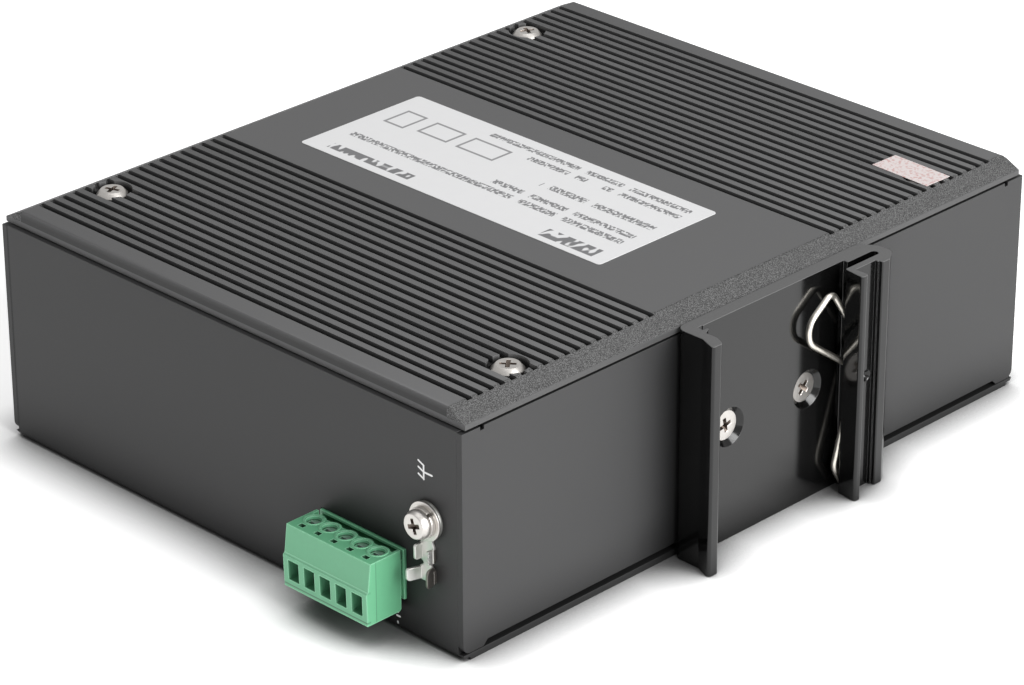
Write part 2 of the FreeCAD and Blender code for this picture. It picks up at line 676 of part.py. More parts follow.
def board_standoffs():
    """Round standoffs between the base and the board."""
    base_z = FLOOR_Z + SHEET
    standoffs = []
    for x, y in COVER_SCREWS + MID_STANDOFFS:
        sleeve = rod(STANDOFF_R, V(x, y, base_z), V(0, 0, 1), BOARD_LIFT)
        standoffs.append(sleeve.cut(upright_bore(x, y, M3_R + THREAD_CLEAR, base_z, BOARD_Z)))
    return standoffs


def corner_posts():
    """Four hexagonal posts that clamp the board and carry the cover."""
    posts = []
    corners = [math.radians(60 * i) for i in range(6)]
    stud = min(POST_STUD, BOARD_THICKNESS + BOARD_LIFT)
    bore_z = POCKET_Z - COVER_SCREW_LENGTH
    for x, y in COVER_SCREWS:
        ring = [V(x + POST_CORNER * math.cos(a), y + POST_CORNER * math.sin(a), BOARD_TOP) for a in corners]
        hexagon = prism(ring, V(0, 0, COVER_Z - BOARD_TOP))
        foot = rod(M3_R, V(x, y, BOARD_TOP - stud), V(0, 0, 1), stud)
        posts.append(joined([hexagon, foot]).cut(upright_bore(x, y, M3_R + THREAD_CLEAR, bore_z, COVER_Z)))
    return posts


def board_screws():
    """Pan-head screws at the middle standoffs."""
    return [pan_screw(V(x, y, BOARD_TOP), V(0, 0, 1), BOARD_SCREW_LENGTH) for x, y in MID_STANDOFFS]


def switch_chip():
    """Square switch chip with one clipped corner."""
    h = CHIP_SIZE / 2.0
    ring = [(-h, -h), (h, -h), (h, h), (CHIP_CLIP - h, h), (-h, h - CHIP_CLIP)]
    return prism([CHIP + V(x, y, 0) for x, y in ring], V(0, 0, CHIP_HEIGHT))


def chip_heatsink():
    """Small finned heat sink bonded to the chip."""
    base = CHIP + V(0, 0, CHIP_HEIGHT)
    h = SINK_SIZE / 2.0
    pieces = [block(base.x - h, base.x + h, base.y - h, base.y + h, base.z, base.z + SINK_BASE)]
    pitch = (SINK_SIZE - SINK_FIN) / (SINK_FINS - 1)
    for i in range(SINK_FINS):
        y = base.y - h + i * pitch
        low, high = base.z + SINK_BASE, base.z + SINK_HEIGHT
        pieces.append(block(base.x - h, base.x + h, y, y + SINK_FIN, low, high))
    return joined(pieces)


def magnetics():
    """Line transformers in a row behind the jacks."""
    parts = []
    half = MAGNETIC_WIDTH / 2.0
    top = BOARD_TOP + MAGNETIC_HEIGHT
    for i in range(MAGNETIC_COUNT):
        y = JACK_Y + (i - (MAGNETIC_COUNT - 1) / 2.0) * (MAGNETIC_WIDTH + MAGNETIC_GAP)
        parts.append(block(MAGNETIC_X, MAGNETIC_X + MAGNETIC_LENGTH, y - half, y + half, BOARD_TOP, top))
    return parts


def capacitors():
    """Radial electrolytic capacitors behind the power input."""
    x = TERMINAL_MID
    y = PIN_BACK + SUPPLY_INSET
    pitch = 2 * CAPACITOR_R + CAPACITOR_GAP
    return [
        rod(CAPACITOR_R, V(x - i * pitch, y, BOARD_TOP), V(0, 0, 1), CAPACITOR_HEIGHT)
        for i in range(CAPACITOR_COUNT)
    ]


def power_coil():
    """Shielded storage choke of the supply."""
    x = TERMINAL_MID
    h = COIL_SIZE / 2.0
    y = PIN_BACK + SUPPLY_INSET + CAPACITOR_R + COIL_GAP + h
    body = block(x - h, x + h, y - h, y + h, BOARD_TOP, BOARD_TOP + COIL_HEIGHT)
    return body.makeChamfer(COIL_CHAMFER, upright_edges(body))


def upright_edges(shape):
    """Edges of a block that run along Z."""
    return [e for e in shape.Edges if abs(e.tangentAt(e.FirstParameter).z) > 0.9]


def status_leds():
    """Status lights with feet on the board and domes in the panel holes."""
    lights = []
    for y, z in led_places():
        centre = V(FRONT_X - LED_PROUD + LED_R, y, z)
        dome = Part.makeSphere(LED_R, centre)
        stem = rod(LED_R, centre, V(1, 0, 0), SHEET + LED_STEM)
        back = centre.x + SHEET + LED_STEM
        half = LED_R + LED_SHOULDER
        base = block(back, back + LED_BASE, y - half, y + half, BOARD_TOP, z + half)
        lights.append(joined([dome, stem, base]))
    return lights


# ---------------------------------------------------------------- jack block
def jack_cells():
    """Cell centres as (y, z, up); the lower row has its latch down."""
    cells = []
    for row in range(JACK_ROWS):
        z = BOARD_TOP + JACK_MARGIN + (row + 0.5) * JACK_ROW_PITCH
        for column in range(JACK_COLUMNS):
            y = JACK_Y + (column - (JACK_COLUMNS - 1) / 2.0) * JACK_PITCH
            cells.append((y, z, 1 if row else -1))
    return cells


def socket_tool(cell, depth):
    """Stepped jack mouth from in front of the shield: plug, latch slot and latch key."""
    y, z, up = cell
    half = SOCKET_WIDTH / 2.0
    latch = LATCH_WIDTH / 2.0
    key = KEY_WIDTH / 2.0
    floor = -JACK_STEPS / 2.0
    body_top = floor + SOCKET_HEIGHT
    latch_top = body_top + LATCH_HEIGHT
    right = [
        (half, floor),
        (half, body_top),
        (latch, body_top),
        (latch, latch_top),
        (key, latch_top),
        (key, -floor),
    ]
    left = [(-a, b) for a, b in reversed(right)]
    x = FRONT_X - JACK_PROUD - 1
    return prism([V(x, y + a, z + up * b) for a, b in right + left], V(depth + 1, 0, 0))


def jack_insulator():
    """Moulded block with one stepped socket for each port."""
    half = JACK_WIDTH / 2.0 - SHIELD
    top = BOARD_TOP + JACK_HEIGHT - SHIELD
    body = block(JACK_FACE, JACK_FACE + JACK_DEPTH, JACK_Y - half, JACK_Y + half, BOARD_TOP, top)
    return body.cut([socket_tool(cell, SHIELD + SOCKET_DEPTH) for cell in jack_cells()])


def jack_shield():
    """Thin folded shield over the insulator, with a window at each socket."""
    x0 = JACK_FACE - SHIELD
    x1 = JACK_FACE + JACK_DEPTH
    half = JACK_WIDTH / 2.0
    inner = half - SHIELD
    top = BOARD_TOP + JACK_HEIGHT
    shell = block(x0, x1, JACK_Y - half, JACK_Y + half, BOARD_TOP, top)
    core = block(JACK_FACE, x1 + 1, JACK_Y - inner, JACK_Y + inner, BOARD_TOP - 1, top - SHIELD)
    return shell.cut([core] + [socket_tool(cell, SHIELD) for cell in jack_cells()])


def jack_contacts():
    """Spring contacts sloping up from each socket's wall opposite the latch."""
    wires = []
    end = CONTACT_END
    rise = CONTACT_RISE
    start = CONTACT_START
    for y, z, up in jack_cells():
        floor = z - up * JACK_STEPS / 2.0
        slope = [
            (start, 0),
            (end - CONTACT_THICK, rise),
            (end, rise),
            (end, rise - CONTACT_THICK),
            (start + 1, 0),
        ]
        for i in range(CONTACT_COUNT):
            side = y + (i - (CONTACT_COUNT - 1) / 2.0) * CONTACT_PITCH - CONTACT_THICK / 2.0
            ring = [V(JACK_FACE + a, side, floor + up * b) for a, b in slope]
            wires.append(prism(ring, V(0, CONTACT_THICK, 0)))
    return wires


# ---------------------------------------------------------------- terminal
def terminal_header():
    """Open-fronted header for the terminal plug."""
    half = TERMINAL_WIDTH / 2.0
    inner = half - HEADER_WALL
    back = HEADER_FRONT + HEADER_DEPTH
    pin = PIN_SIZE / 2.0
    mid = TERMINAL_MID
    body = block(mid - half, mid + half, HEADER_FRONT, back, BOARD_TOP, HEADER_TOP)
    low = BOARD_TOP + HEADER_WALL
    wall = back - HEADER_BACK
    body = body.cut(block(mid - inner, mid + inner, HEADER_FRONT - 1, wall, low, HEADER_TOP - HEADER_WALL))
    return body.cut([block(x - pin, x + pin, wall - 1, back + 1, PIN_Z - pin, PIN_Z + pin) for x in POLE_X])


def header_pins():
    """Angled pins from the plug's cages through the header's back wall to the board."""
    half = PIN_SIZE / 2.0
    tip = HEADER_FRONT + HEADER_DEPTH - HEADER_BACK - PIN_REACH
    section = [
        (tip, PIN_Z + half),
        (PIN_BACK + half, PIN_Z + half),
        (PIN_BACK + half, BOARD_TOP),
        (PIN_BACK - half, BOARD_TOP),
        (PIN_BACK - half, PIN_Z - half),
        (tip, PIN_Z - half),
    ]
    return [prism([V(x - half, y, z) for y, z in section], V(PIN_SIZE, 0, 0)) for x in POLE_X]


def plug_body():
    """Plug body in front of the header, as a side profile extruded across the poles."""
    back = HEADER_FRONT - PLUG_BACK
    ledge = PLUG_LOW + PLUG_ENTRY_H
    upper = PLUG_FRONT + PLUG_LEDGE[0]
    section = [
        (back, PLUG_LOW + PLUG_TOE[1]),
        (back, PLUG_TOP),
        (upper + PLUG_SLOPE, PLUG_TOP),
        (upper, ledge + PLUG_LEDGE[1]),
        (PLUG_FRONT, ledge),
        (PLUG_FRONT + PLUG_UNDER, PLUG_LOW),
        (back - PLUG_TOE[0], PLUG_LOW),
    ]
    x0 = TERMINAL_MID - TERMINAL_WIDTH / 2.0
    return prism([V(x0, y, z) for y, z in section], V(TERMINAL_WIDTH, 0, 0))


def plug_nose():
    """Part of the plug that fills the header up to the floor of the pockets."""
    gap = HEADER_WALL + HEADER_CLEAR
    half = TERMINAL_WIDTH / 2.0 - gap
    back = HEADER_FRONT - PLUG_BACK
    end = HEADER_FRONT + PLUG_NOSE
    top = PLUG_TOP - POCKET_DEPTH
    return block(TERMINAL_MID - half, TERMINAL_MID + half, back - 1, end, BOARD_TOP + gap, top)


def plug_pockets():
    """Open pockets along the top's back edge, scalloped by the wells' collars."""
    half = TERMINAL_WIDTH / 2.0 - PLUG_CHEEK
    floor = PLUG_TOP - POCKET_DEPTH
    x0, x1 = TERMINAL_MID - half, TERMINAL_MID + half
    pocket = block(x0, x1, -END_Y - POCKET_REACH, HEADER_FRONT, floor, PLUG_TOP + 1)
    collars = [rod(COLLAR_R, V(x, WELL_Y, floor - 1), V(0, 0, 1), POCKET_DEPTH + 3) for x in POLE_X]
    return pocket.cut(collars)


def cage_box(x, inset=0.0):
    """Limits of a pole's clamp cage, moved in by an inset: x0, x1, y0, y1, z0, z1."""
    width, depth, height = CAGE
    y0 = PLUG_FRONT + ENTRY_DEPTH
    across = width / 2.0 - inset
    tall = height / 2.0 - inset
    return x - across, x + across, y0 + inset, y0 + depth - inset, ENTRY_Z - tall, ENTRY_Z + tall


def terminal_plug():
    """Pluggable screw terminal with wire entries, screw wells and test slots."""
    across = ENTRY_WIDTH / 2.0
    tall = ENTRY_HEIGHT / 2.0
    pin = PIN_SIZE / 2.0 + PIN_CLEAR
    test_x = TEST_SLOT[0] / 2.0
    test_y = -END_Y - TEST_SLOT_REACH
    test_half = TEST_SLOT[1] / 2.0
    test_z = PLUG_TOP - TEST_SLOT[2]
    nose_end = HEADER_FRONT + PLUG_NOSE
    cuts = []
    for x in POLE_X:
        cage = cage_box(x)
        well = V(x, WELL_Y, cage[5])
        cuts += [
            block(x - across, x + across, PLUG_FRONT - 1, cage[2], ENTRY_Z - tall, ENTRY_Z + tall),
            block(*cage),
            rod(SCREW_WELL_R, well, V(0, 0, 1), PLUG_TOP - well.z + 1),
            block(x - test_x, x + test_x, test_y - test_half, test_y + test_half, test_z, PLUG_TOP + 1),
            block(x - pin, x + pin, cage[3], nose_end + 1, PIN_Z - pin, PIN_Z + pin),
        ]
    return joined([plug_body(), plug_nose()]).cut(plug_pockets()).cut(cuts)


def clamp_cages():
    """Plated clamp cages behind the wire entries."""
    cages = []
    w = CAGE_WALL
    for x in POLE_X:
        x0, x1, y0, y1, z0, z1 = cage_box(x, CAGE_CLEAR)
        shell = block(x0, x1, y0, y1, z0, z1)
        shell = shell.cut(block(x0 + w, x1 - w, y0 - 1, y1 + 1, z0 + w, z1 - 2 * w))
        hole = rod(CLAMP_R + THREAD_CLEAR, V(x, WELL_Y, z1 - 3 * w), V(0, 0, 1), 4 * w)
        cages.append(shell.cut(hole))
    return cages


def clamp_screws():
    """Slotted clamp screws at the bottom of the screw wells."""
    screws = []
    head_r = SCREW_WELL_R - CLAMP_HEAD_CLEAR
    top = PLUG_TOP - SCREW_WELL_DEPTH
    half = CLAMP_SLOT[0] / 2.0
    for x in POLE_X:
        seat = V(x, WELL_Y, cage_box(x, CAGE_CLEAR)[5])
        head = rod(head_r, seat, V(0, 0, 1), top - seat.z)
        shank = rod(CLAMP_R, seat, V(0, 0, -1), CLAMP_LENGTH)
        slot = block(x - head_r, x + head_r, seat.y - half, seat.y + half, top - CLAMP_SLOT[1], top + 1)
        screws.append(joined([head, shank]).cut(slot))
    return screws


# ---------------------------------------------------------------- earth point
def wing_channel(width, wing, flare, z0, length):
    """Open U channel of the lug: a base on the wall and two wings."""
    half = width / 2.0
    t = LUG_THICK
    tip = -t - wing
    right = [(half, 0), (half + flare, tip), (half + flare - t, tip), (half - t, -t)]
    left = [(-x, y) for x, y in reversed(right)]
    return prism([V(EARTH.x + x, EARTH.y + y, z0) for x, y in right + left], V(0, 0, length))


def earth_lug():
    """Crimp lug with a ring, a neck, an open wire barrel and open grip wings."""
    out = V(0, -1, 0)
    end_z = EARTH.z - LUG_REACH
    neck = LUG_NECK / 2.0
    strap = block(EARTH.x - neck, EARTH.x + neck, EARTH.y - LUG_THICK, EARTH.y, end_z, EARTH.z)
    ring = rod(LUG_RING_R, EARTH, out, LUG_THICK)
    barrel = wing_channel(BARREL_WIDTH, BARREL_WING, 0.0, end_z + GRIP_LENGTH + LUG_STEP, BARREL_LENGTH)
    grip = wing_channel(GRIP_WIDTH, GRIP_WING, GRIP_FLARE, end_z, GRIP_LENGTH)
    lug = joined([ring, strap, barrel, grip])
    return lug.cut(rod(M3_R + M3_CLEAR, EARTH - out, out, LUG_THICK + 2))


def washer_ring(start, radius, thickness):
    """Plain ring that lies against the wall side of a start value on Y."""
    centre = V(EARTH.x, start, EARTH.z)
    ring = rod(radius, centre, V(0, -1, 0), thickness)
    return ring.cut(rod(M3_R + M3_CLEAR, centre + V(0, 1, 0), V(0, -1, 0), thickness + 2))


def earth_washer():
    """Flat washer on the lug."""
    return washer_ring(WASHER_Y, WASHER_R, WASHER_THICK)


def lock_washer():
    """Split spring washer under the screw head."""
    ring = washer_ring(LOCK_Y, LOCK_R, LOCK_THICK)
    half = LOCK_GAP / 2.0
    y0, y1 = LOCK_Y - LOCK_THICK - 1, LOCK_Y + 1
    split = block(EARTH.x - half, EARTH.x + half, y0, y1, EARTH.z, EARTH.z + LOCK_R + 1)
    split.rotate(EARTH, V(0, 1, 0), LOCK_TURN)
    return ring.cut(split)


def earth_screw():
    """Pan-head screw of the earth point."""
    seat = V(EARTH.x, LOCK_Y - LOCK_THICK, EARTH.z)
    return pan_screw(seat, V(0, -1, 0), EARTH_SCREW_LENGTH, EARTH_SCREW_TURN, EARTH_HEAD)


def earth_nut():
    """Press nut behind the end wall and the panel's flange."""
    return press_nut(EARTH + V(0, 2 * SHEET, 0), V(0, 1, 0))


# ---------------------------------------------------------------- labels
def rating_label():
    """Plain label on the flat field of the cover."""
    x = MID_X + LABEL_SHIFT
    long, wide = LABEL_X / 2.0, LABEL_Y / 2.0
    label = block(x - long, x + long, -wide, wide, COVER_TOP, COVER_TOP + LABEL_THICK)
    return label.makeFillet(LABEL_CORNER, upright_edges(label))


def seal_sticker():
    """Plain seal over the screw pocket of the back corner, resting on the fins."""
    x = REAR_X - COVER_SCREW_X - SEAL_SHIFT
    y = END_Y - COVER_SCREW_Y
    long, wide = SEAL_X / 2.0, SEAL_Y / 2.0
    seal = block(x - long, x + long, y - wide, y + wide, COVER_TOP, COVER_TOP + LABEL_THICK)
    seal.rotate(V(x, y, COVER_TOP), V(0, 0, 1), SEAL_TURN)
    return seal


PARTS = [
    housing_wrap, front_panel, rear_panel, finned_cover, cover_screws, rating_label, seal_sticker,
    din_bracket, spring_wire, bracket_screws, bracket_nuts,
    main_board, board_standoffs, corner_posts, board_screws,
    switch_chip, chip_heatsink, magnetics, capacitors, power_coil, status_leds,
    jack_shield, jack_insulator, jack_contacts,
    terminal_header, header_pins, terminal_plug, clamp_cages, clamp_screws,
    earth_lug, earth_washer, lock_washer, earth_screw, earth_nut,
]


def main():
    """Build every piece and write it as a STEP file named after its function."""
    os.makedirs("parts", exist_ok=True)
    for make in PARTS:
        shape = make()
        if isinstance(shape, list):
            shape = Part.makeCompound(shape)
        volume = sum(solid.Volume for solid in shape.Solids)
        print(f"{make.__name__}: {len(shape.Solids)} solid(s), {volume:.1f} mm3, valid {shape.isValid()}")
        shape.exportStep(os.path.join("parts", make.__name__ + ".step"))


main()
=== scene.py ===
import json
import logging
import math
from dataclasses import dataclass
from enum import Enum
from typing import Callable, Optional, Union

import bmesh
import bpy
from mathutils import Matrix, Vector


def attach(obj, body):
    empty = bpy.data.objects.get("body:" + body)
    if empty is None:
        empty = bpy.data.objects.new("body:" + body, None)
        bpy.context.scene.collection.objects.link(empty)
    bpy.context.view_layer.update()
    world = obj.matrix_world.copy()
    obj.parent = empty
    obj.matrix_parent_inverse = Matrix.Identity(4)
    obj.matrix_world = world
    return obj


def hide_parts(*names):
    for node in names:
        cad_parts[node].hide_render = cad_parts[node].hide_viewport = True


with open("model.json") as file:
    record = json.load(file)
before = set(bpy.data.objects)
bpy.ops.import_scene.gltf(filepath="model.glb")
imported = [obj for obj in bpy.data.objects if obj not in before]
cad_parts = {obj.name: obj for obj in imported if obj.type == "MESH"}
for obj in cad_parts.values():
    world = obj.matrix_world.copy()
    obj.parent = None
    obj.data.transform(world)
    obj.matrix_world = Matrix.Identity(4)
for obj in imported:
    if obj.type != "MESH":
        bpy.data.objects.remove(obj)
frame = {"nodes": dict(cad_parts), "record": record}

LOG = logging.getLogger("rail_switch")
MM = 0.001
Colour = tuple[float, float, float]
Stroke = tuple[float, float, float, float]
Value = Union[float, "Sock"]
Pit = Callable[[Vector], float]
RECESS = "recess"
FINE_SAMPLES = 6
SHARP_ANGLE = 40.0
EDGE_MATCH = 0.993
EDGE_GAIN = 14.0


def grey(level: float) -> Colour:
    """A neutral colour."""
    return (level, level, level)


def scaled(colour: Colour, factor: float, lift: float = 0.0) -> Colour:
    """A colour made darker or paler, at most 1 in each channel."""
    return tuple(min(c * factor + lift, 1.0) for c in colour)


# ------------------------------------------------------------------ shader maths
class Sock:
    """A shader socket that adds Math nodes when it is used in an expression."""

    def __init__(self, nodes: "Nodes", socket: bpy.types.NodeSocket) -> None:
        """Wraps a socket of a node tree."""
        self.nodes = nodes
        self.socket = socket

    def _math(self, operation: str, first: Value, second: Value = 0.0) -> "Sock":
        """Adds one Math node."""
        return self.nodes.node("ShaderNodeMath", {"operation": operation}, {0: first, 1: second})

    def __add__(self, other: Value) -> "Sock":
        """Sum."""
        return self._math("ADD", self, other)

    def __radd__(self, other: Value) -> "Sock":
        """Sum with a number first."""
        return self._math("ADD", other, self)

    def __sub__(self, other: Value) -> "Sock":
        """Difference."""
        return self._math("SUBTRACT", self, other)

    def __rsub__(self, other: Value) -> "Sock":
        """Difference with a number first."""
        return self._math("SUBTRACT", other, self)

    def __mul__(self, other: Value) -> "Sock":
        """Product."""
        return self._math("MULTIPLY", self, other)

    def __rmul__(self, other: Value) -> "Sock":
        """Product with a number first."""
        return self._math("MULTIPLY", other, self)

    def __truediv__(self, other: Value) -> "Sock":
        """Quotient."""
        return self._math("DIVIDE", self, other)

    def __rtruediv__(self, other: Value) -> "Sock":
        """Quotient with a number first."""
        return self._math("DIVIDE", other, self)

    def __abs__(self) -> "Sock":
        """Absolute value."""
        return self._math("ABSOLUTE", self)

    def clamp(self) -> "Sock":
        """Limits the value to 0..1."""
        return self.nodes.node("ShaderNodeClamp", {}, {"Value": self})

    def above(self, edge: float, soft: float) -> "Sock":
        """Rises from 0 to 1 around an edge.

        Args:
            edge: where the middle of the rise lies.
            soft: width of the rise.

        Returns:
            The mask.
        """
        return ((self - (edge - soft / 2.0)) / soft).clamp()


class Nodes:
    """A node tree with one method that makes every node."""

    def __init__(self, tree: bpy.types.NodeTree) -> None:
        """Takes a tree and empties it."""
        self.tree = tree
        self.tree.nodes.clear()

    def make(self, kind: str, settings: dict, sockets: dict) -> bpy.types.Node:
        """Adds one node.

        Args:
            kind: the node's type.
            settings: attributes, set first.
            sockets: values or links by socket name or number.

        Returns:
            The new node.
        """
        made = self.tree.nodes.new(kind)
        for key, value in settings.items():
            setattr(made, key, value)
        for key, value in sockets.items():
            self.put(made.inputs[key], value)
        return made

    def node(self, kind: str, settings: dict, sockets: dict, output: Union[int, str] = 0) -> Sock:
        """Adds one node and wraps one of its outputs."""
        return Sock(self, self.make(kind, settings, sockets).outputs[output])

    def put(self, target: bpy.types.NodeSocket, value: object) -> None:
        """Links a wrapped socket to a target, or sets the target's value.

        Args:
            target: the input that is fed.
            value: a wrapped socket, a number, a vector or a colour.
        """
        if isinstance(value, Sock):
            self.tree.links.new(value.socket, target)
        elif isinstance(value, tuple) and len(value) == 3 and target.type == "RGBA":
            target.default_value = (*value, 1.0)
        else:
            target.default_value = value


class Sheet(Nodes):
    """A material's node tree, with the patterns and masks that the finishes share."""

    def __init__(self, name: str) -> None:
        """Starts a material with its shader and output.

        Args:
            name: the finish's name.
        """
        self.material = bpy.data.materials.new(name)
        self.material.use_nodes = True
        super().__init__(self.material.node_tree)
        self.shader = self.make("ShaderNodeBsdfPrincipled", {}, {})
        self.make("ShaderNodeOutputMaterial", {}, {"Surface": Sock(self, self.shader.outputs[0])})

    def place(self, scale: Colour) -> Sock:
        """Object coordinates through a Mapping node, in metres times the scale."""
        coords = self.node("ShaderNodeTexCoord", {}, {}, "Object")
        return self.node("ShaderNodeMapping", {}, {"Vector": coords, "Scale": scale})

    def axes(self) -> tuple[Sock, ...]:
        """The three object coordinates, in millimetres."""
        coords = self.node("ShaderNodeTexCoord", {}, {}, "Object")
        split = self.make("ShaderNodeSeparateXYZ", {}, {0: coords})
        return tuple(Sock(self, output) * 1000.0 for output in split.outputs)

    def noise(
        self, per_mm: float, detail: float = 2.0, rough: float = 0.5, stretch: Colour = (1.0, 1.0, 1.0)
    ) -> Sock:
        """Noise with a number of features per millimetre.

        Args:
            per_mm: features per millimetre.
            detail: octaves.
            rough: weight of the fine octaves.
            stretch: scale of each axis.

        Returns:
            The noise value.
        """
        coords = self.place(tuple(per_mm / MM * s for s in stretch))
        values = {"Vector": coords, "Scale": 1.0, "Detail": detail, "Roughness": rough}
        return self.node("ShaderNodeTexNoise", {}, values)

    def mix(self, mask: Value, first: Union[Colour, Sock], second: Union[Colour, Sock]) -> Sock:
        """Mixes two colours by a mask."""
        return self.node("ShaderNodeMix", {"data_type": "RGBA"}, {0: mask, 6: first, 7: second}, 2)

    def bump(self, height: Value, distance_mm: float, strength: float, normal: Sock) -> Sock:
        """Bump from a height value, a distance in millimetres at full height."""
        values = {"Height": height, "Distance": distance_mm * MM, "Strength": strength, "Normal": normal}
        return self.node("ShaderNodeBump", {}, values)

    def soft_edges(self, radius_mm: float) -> Sock:
        """Normal that rounds the edges of a piece by a small radius."""
        return self.node("ShaderNodeBevel", {"samples": FINE_SAMPLES}, {"Radius": radius_mm * MM})

    def edges(self, radius_mm: float) -> Sock:
        """Mask of the sharp edges: a rounded normal against the true one.

        Args:
            radius_mm: how wide the rounding is.

        Returns:
            The mask.
        """
        rounded = self.soft_edges(radius_mm)
        true = self.node("ShaderNodeNewGeometry", {}, {}, "True Normal")
        pair = {0: rounded, 1: true}
        match = self.node("ShaderNodeVectorMath", {"operation": "DOT_PRODUCT"}, pair, "Value")
        return ((EDGE_MATCH - match) * EDGE_GAIN).clamp()

    def nearby(self, distance_mm: float, low: float, high: float) -> Sock:
        """Mask of the places shaded by what stands close.

        Args:
            distance_mm: how far to look.
            low: openness at which the mask is full.
            high: openness at which it has faded.

        Returns:
            The mask.
        """
        reach = {"Distance": distance_mm * MM}
        openness = self.node("ShaderNodeAmbientOcclusion", {"samples": FINE_SAMPLES}, reach, "AO")
        return 1.0 - openness.above((low + high) / 2.0, high - low)

    def painted(self) -> Sock:
        """The piece's own recess value for painted shade, 0 on open faces and 1 deep inside."""
        return self.node("ShaderNodeAttribute", {"attribute_name": RECESS}, {}, "Fac")

    def within(self, value: Sock, low: float, high: float, soft: float) -> Sock:
        """Mask of the values between two limits."""
        return value.above(low, soft) * (1.0 - value.above(high, soft))

    def stroke(self, across: Sock, up: Sock, ends: Stroke, width: float) -> Sock:
        """Mask of one straight printed stroke.

        Args:
            across: first coordinate, in millimetres.
            up: second coordinate, in millimetres.
            ends: start and end of the stroke in the two coordinates.
            width: stroke width.

        Returns:
            The mask.
        """
        x0, z0, x1, z1 = ends
        run, rise = x1 - x0, z1 - z0
        square = run * run + rise * rise
        along = ((across - x0) * (run / square) + (up - z0) * (rise / square)).clamp()
        off_x = across - x0 - along * run
        off_z = up - z0 - along * rise
        far = off_x * off_x + off_z * off_z
        return 1.0 - far.above((width / 2.0) ** 2, (width / 3.0) ** 2)

    def finish(self, **sockets: object) -> bpy.types.Material:
        """Sets the shader's sockets.

        Args:
            sockets: values or links by socket name, with spaces written as underscores.

        Returns:
            The finished material.
        """
        for key, value in sockets.items():
            self.put(self.shader.inputs[key.replace("_", " ")], value)
        return self.material


# ------------------------------------------------------------------ finishes
@dataclass(frozen=True)
class PowderCoat:
    """Satin powder coat with a fine orange peel, the end wall's earth sign and dashes, and the front seam."""

    name: str = "housing_paint"
    colour: Colour = (0.036, 0.036, 0.0365)
    ink: Colour = (0.80, 0.80, 0.80)
    gloss: float = 0.27
    wall_y: float = -70.95
    seam_x: float = -116.3
    seam_y: float = -70.9
    rim_z: float = 20.2
    shade_reach: float = 11.0
    width: float = 0.36
    strokes: tuple[Stroke, ...] = (
        (-11.4, 9.0, -11.4, 11.5),
        (-11.4, 10.3, -9.5, 10.3),
        (-11.4, 9.05, -12.6, 9.6),
        (-11.4, 10.3, -12.6, 10.85),
        (-11.4, 11.5, -12.6, 12.05),
        (-17.9, -17.6, -17.9, -18.2),
        (-18.2, -18.95, -17.5, -18.95),
        (-18.0, -20.1, -18.0, -20.9),
    )

    def build(self) -> bpy.types.Material:
        """Makes the material.

        Returns:
            The finished material.
        """
        sheet = Sheet(self.name)
        x, y, z = sheet.axes()
        peel = sheet.noise(2.2, 3.0, 0.55)
        tint = sheet.noise(0.03, 2.0)
        base = sheet.mix(tint, scaled(self.colour, 0.96), scaled(self.colour, 1.04))
        # painted highlight: the sharp edges are mixed paler
        base = sheet.mix(sheet.edges(0.2) * 0.4, base, scaled(self.colour, 2.2))
        shade = sheet.nearby(self.shade_reach, 0.45, 0.95) * (1.0 - z.above(self.rim_z, 0.05))
        base = sheet.mix(shade * 0.8, base, scaled(self.colour, 0.15))
        marks: Value = 0.0
        for ends in self.strokes:
            marks = sheet.stroke(x, z, ends, self.width) + marks
        on_wall = 1.0 - y.above(self.wall_y, 0.01)
        seam = sheet.within(x, self.seam_x - 0.2, self.seam_x + 0.2, 0.1) * (1.0 - y.above(self.seam_y, 0.01))
        base = sheet.mix(seam * 0.9, base, grey(0.002))
        printed = sheet.mix((marks * on_wall).clamp(), base, self.ink)
        normal = sheet.bump(peel, 0.012, 0.35, sheet.soft_edges(0.18))
        return sheet.finish(
            Base_Color=printed, Roughness=0.42 + 0.08 * peel, Specular_IOR_Level=self.gloss, Normal=normal
        )


@dataclass(frozen=True)
class BlastedMetal:
    """Painted cover casting: smooth fins and field, coarse grain on the end bevels."""

    name: str = "cover_finish"
    colour: Colour = (0.088, 0.088, 0.089)
    bevels: tuple[float, float] = (-113.35, -6.85)
    ends: tuple[float, float] = (-117.2, -2.9)
    lip_z: float = 21.5
    groove_floor: float = 21.6
    groove_z: float = 22.9

    def build(self) -> bpy.types.Material:
        """Makes the material.

        Returns:
            The finished material.
        """
        sheet = Sheet(self.name)
        x, _, z = sheet.axes()
        fine = sheet.noise(4.0, 3.0, 0.6)
        grain = sheet.noise(5.2, 2.0, 0.8)
        bevel = self._beyond(x, self.bevels) * z.above(self.lip_z, 0.06)
        base = sheet.mix(fine, scaled(self.colour, 0.95), scaled(self.colour, 1.05))
        speck = sheet.mix(grain.above(0.52, 0.14), grey(0.010), grey(0.14))
        base = sheet.mix(bevel * 0.9, base, speck)
        # painted shade on the vertical strip below the lip at both ends
        shaded_ends = self._beyond(x, self.ends)
        base = sheet.mix(shaded_ends * (1.0 - z.above(self.lip_z, 0.06)) * 0.6, base, grey(0.03))
        # painted shade deep in the grooves between the fins
        groove = 1.0 - z.above(self.groove_z, 0.7)
        groove_shade = groove * (1.0 - bevel) * z.above(self.groove_floor, 0.1)
        base = sheet.mix(groove_shade * 0.9, base, grey(0.006))
        # faint painted highlight on the edges, left off the bevels
        base = sheet.mix(sheet.edges(0.12) * 0.08 * (1.0 - bevel), base, scaled(self.colour, 2.0))
        height = fine * 0.15 + grain * bevel
        normal = sheet.bump(height, 0.09, 0.7, sheet.soft_edges(0.12))
        return sheet.finish(Base_Color=base, Roughness=0.5 + 0.1 * fine, Normal=normal)

    @staticmethod
    def _beyond(value: Sock, limits: tuple[float, float]) -> Sock:
        """Mask of the values outside two limits."""
        return (value.above(limits[1], 0.1) + (1.0 - value.above(limits[0], 0.1))).clamp()


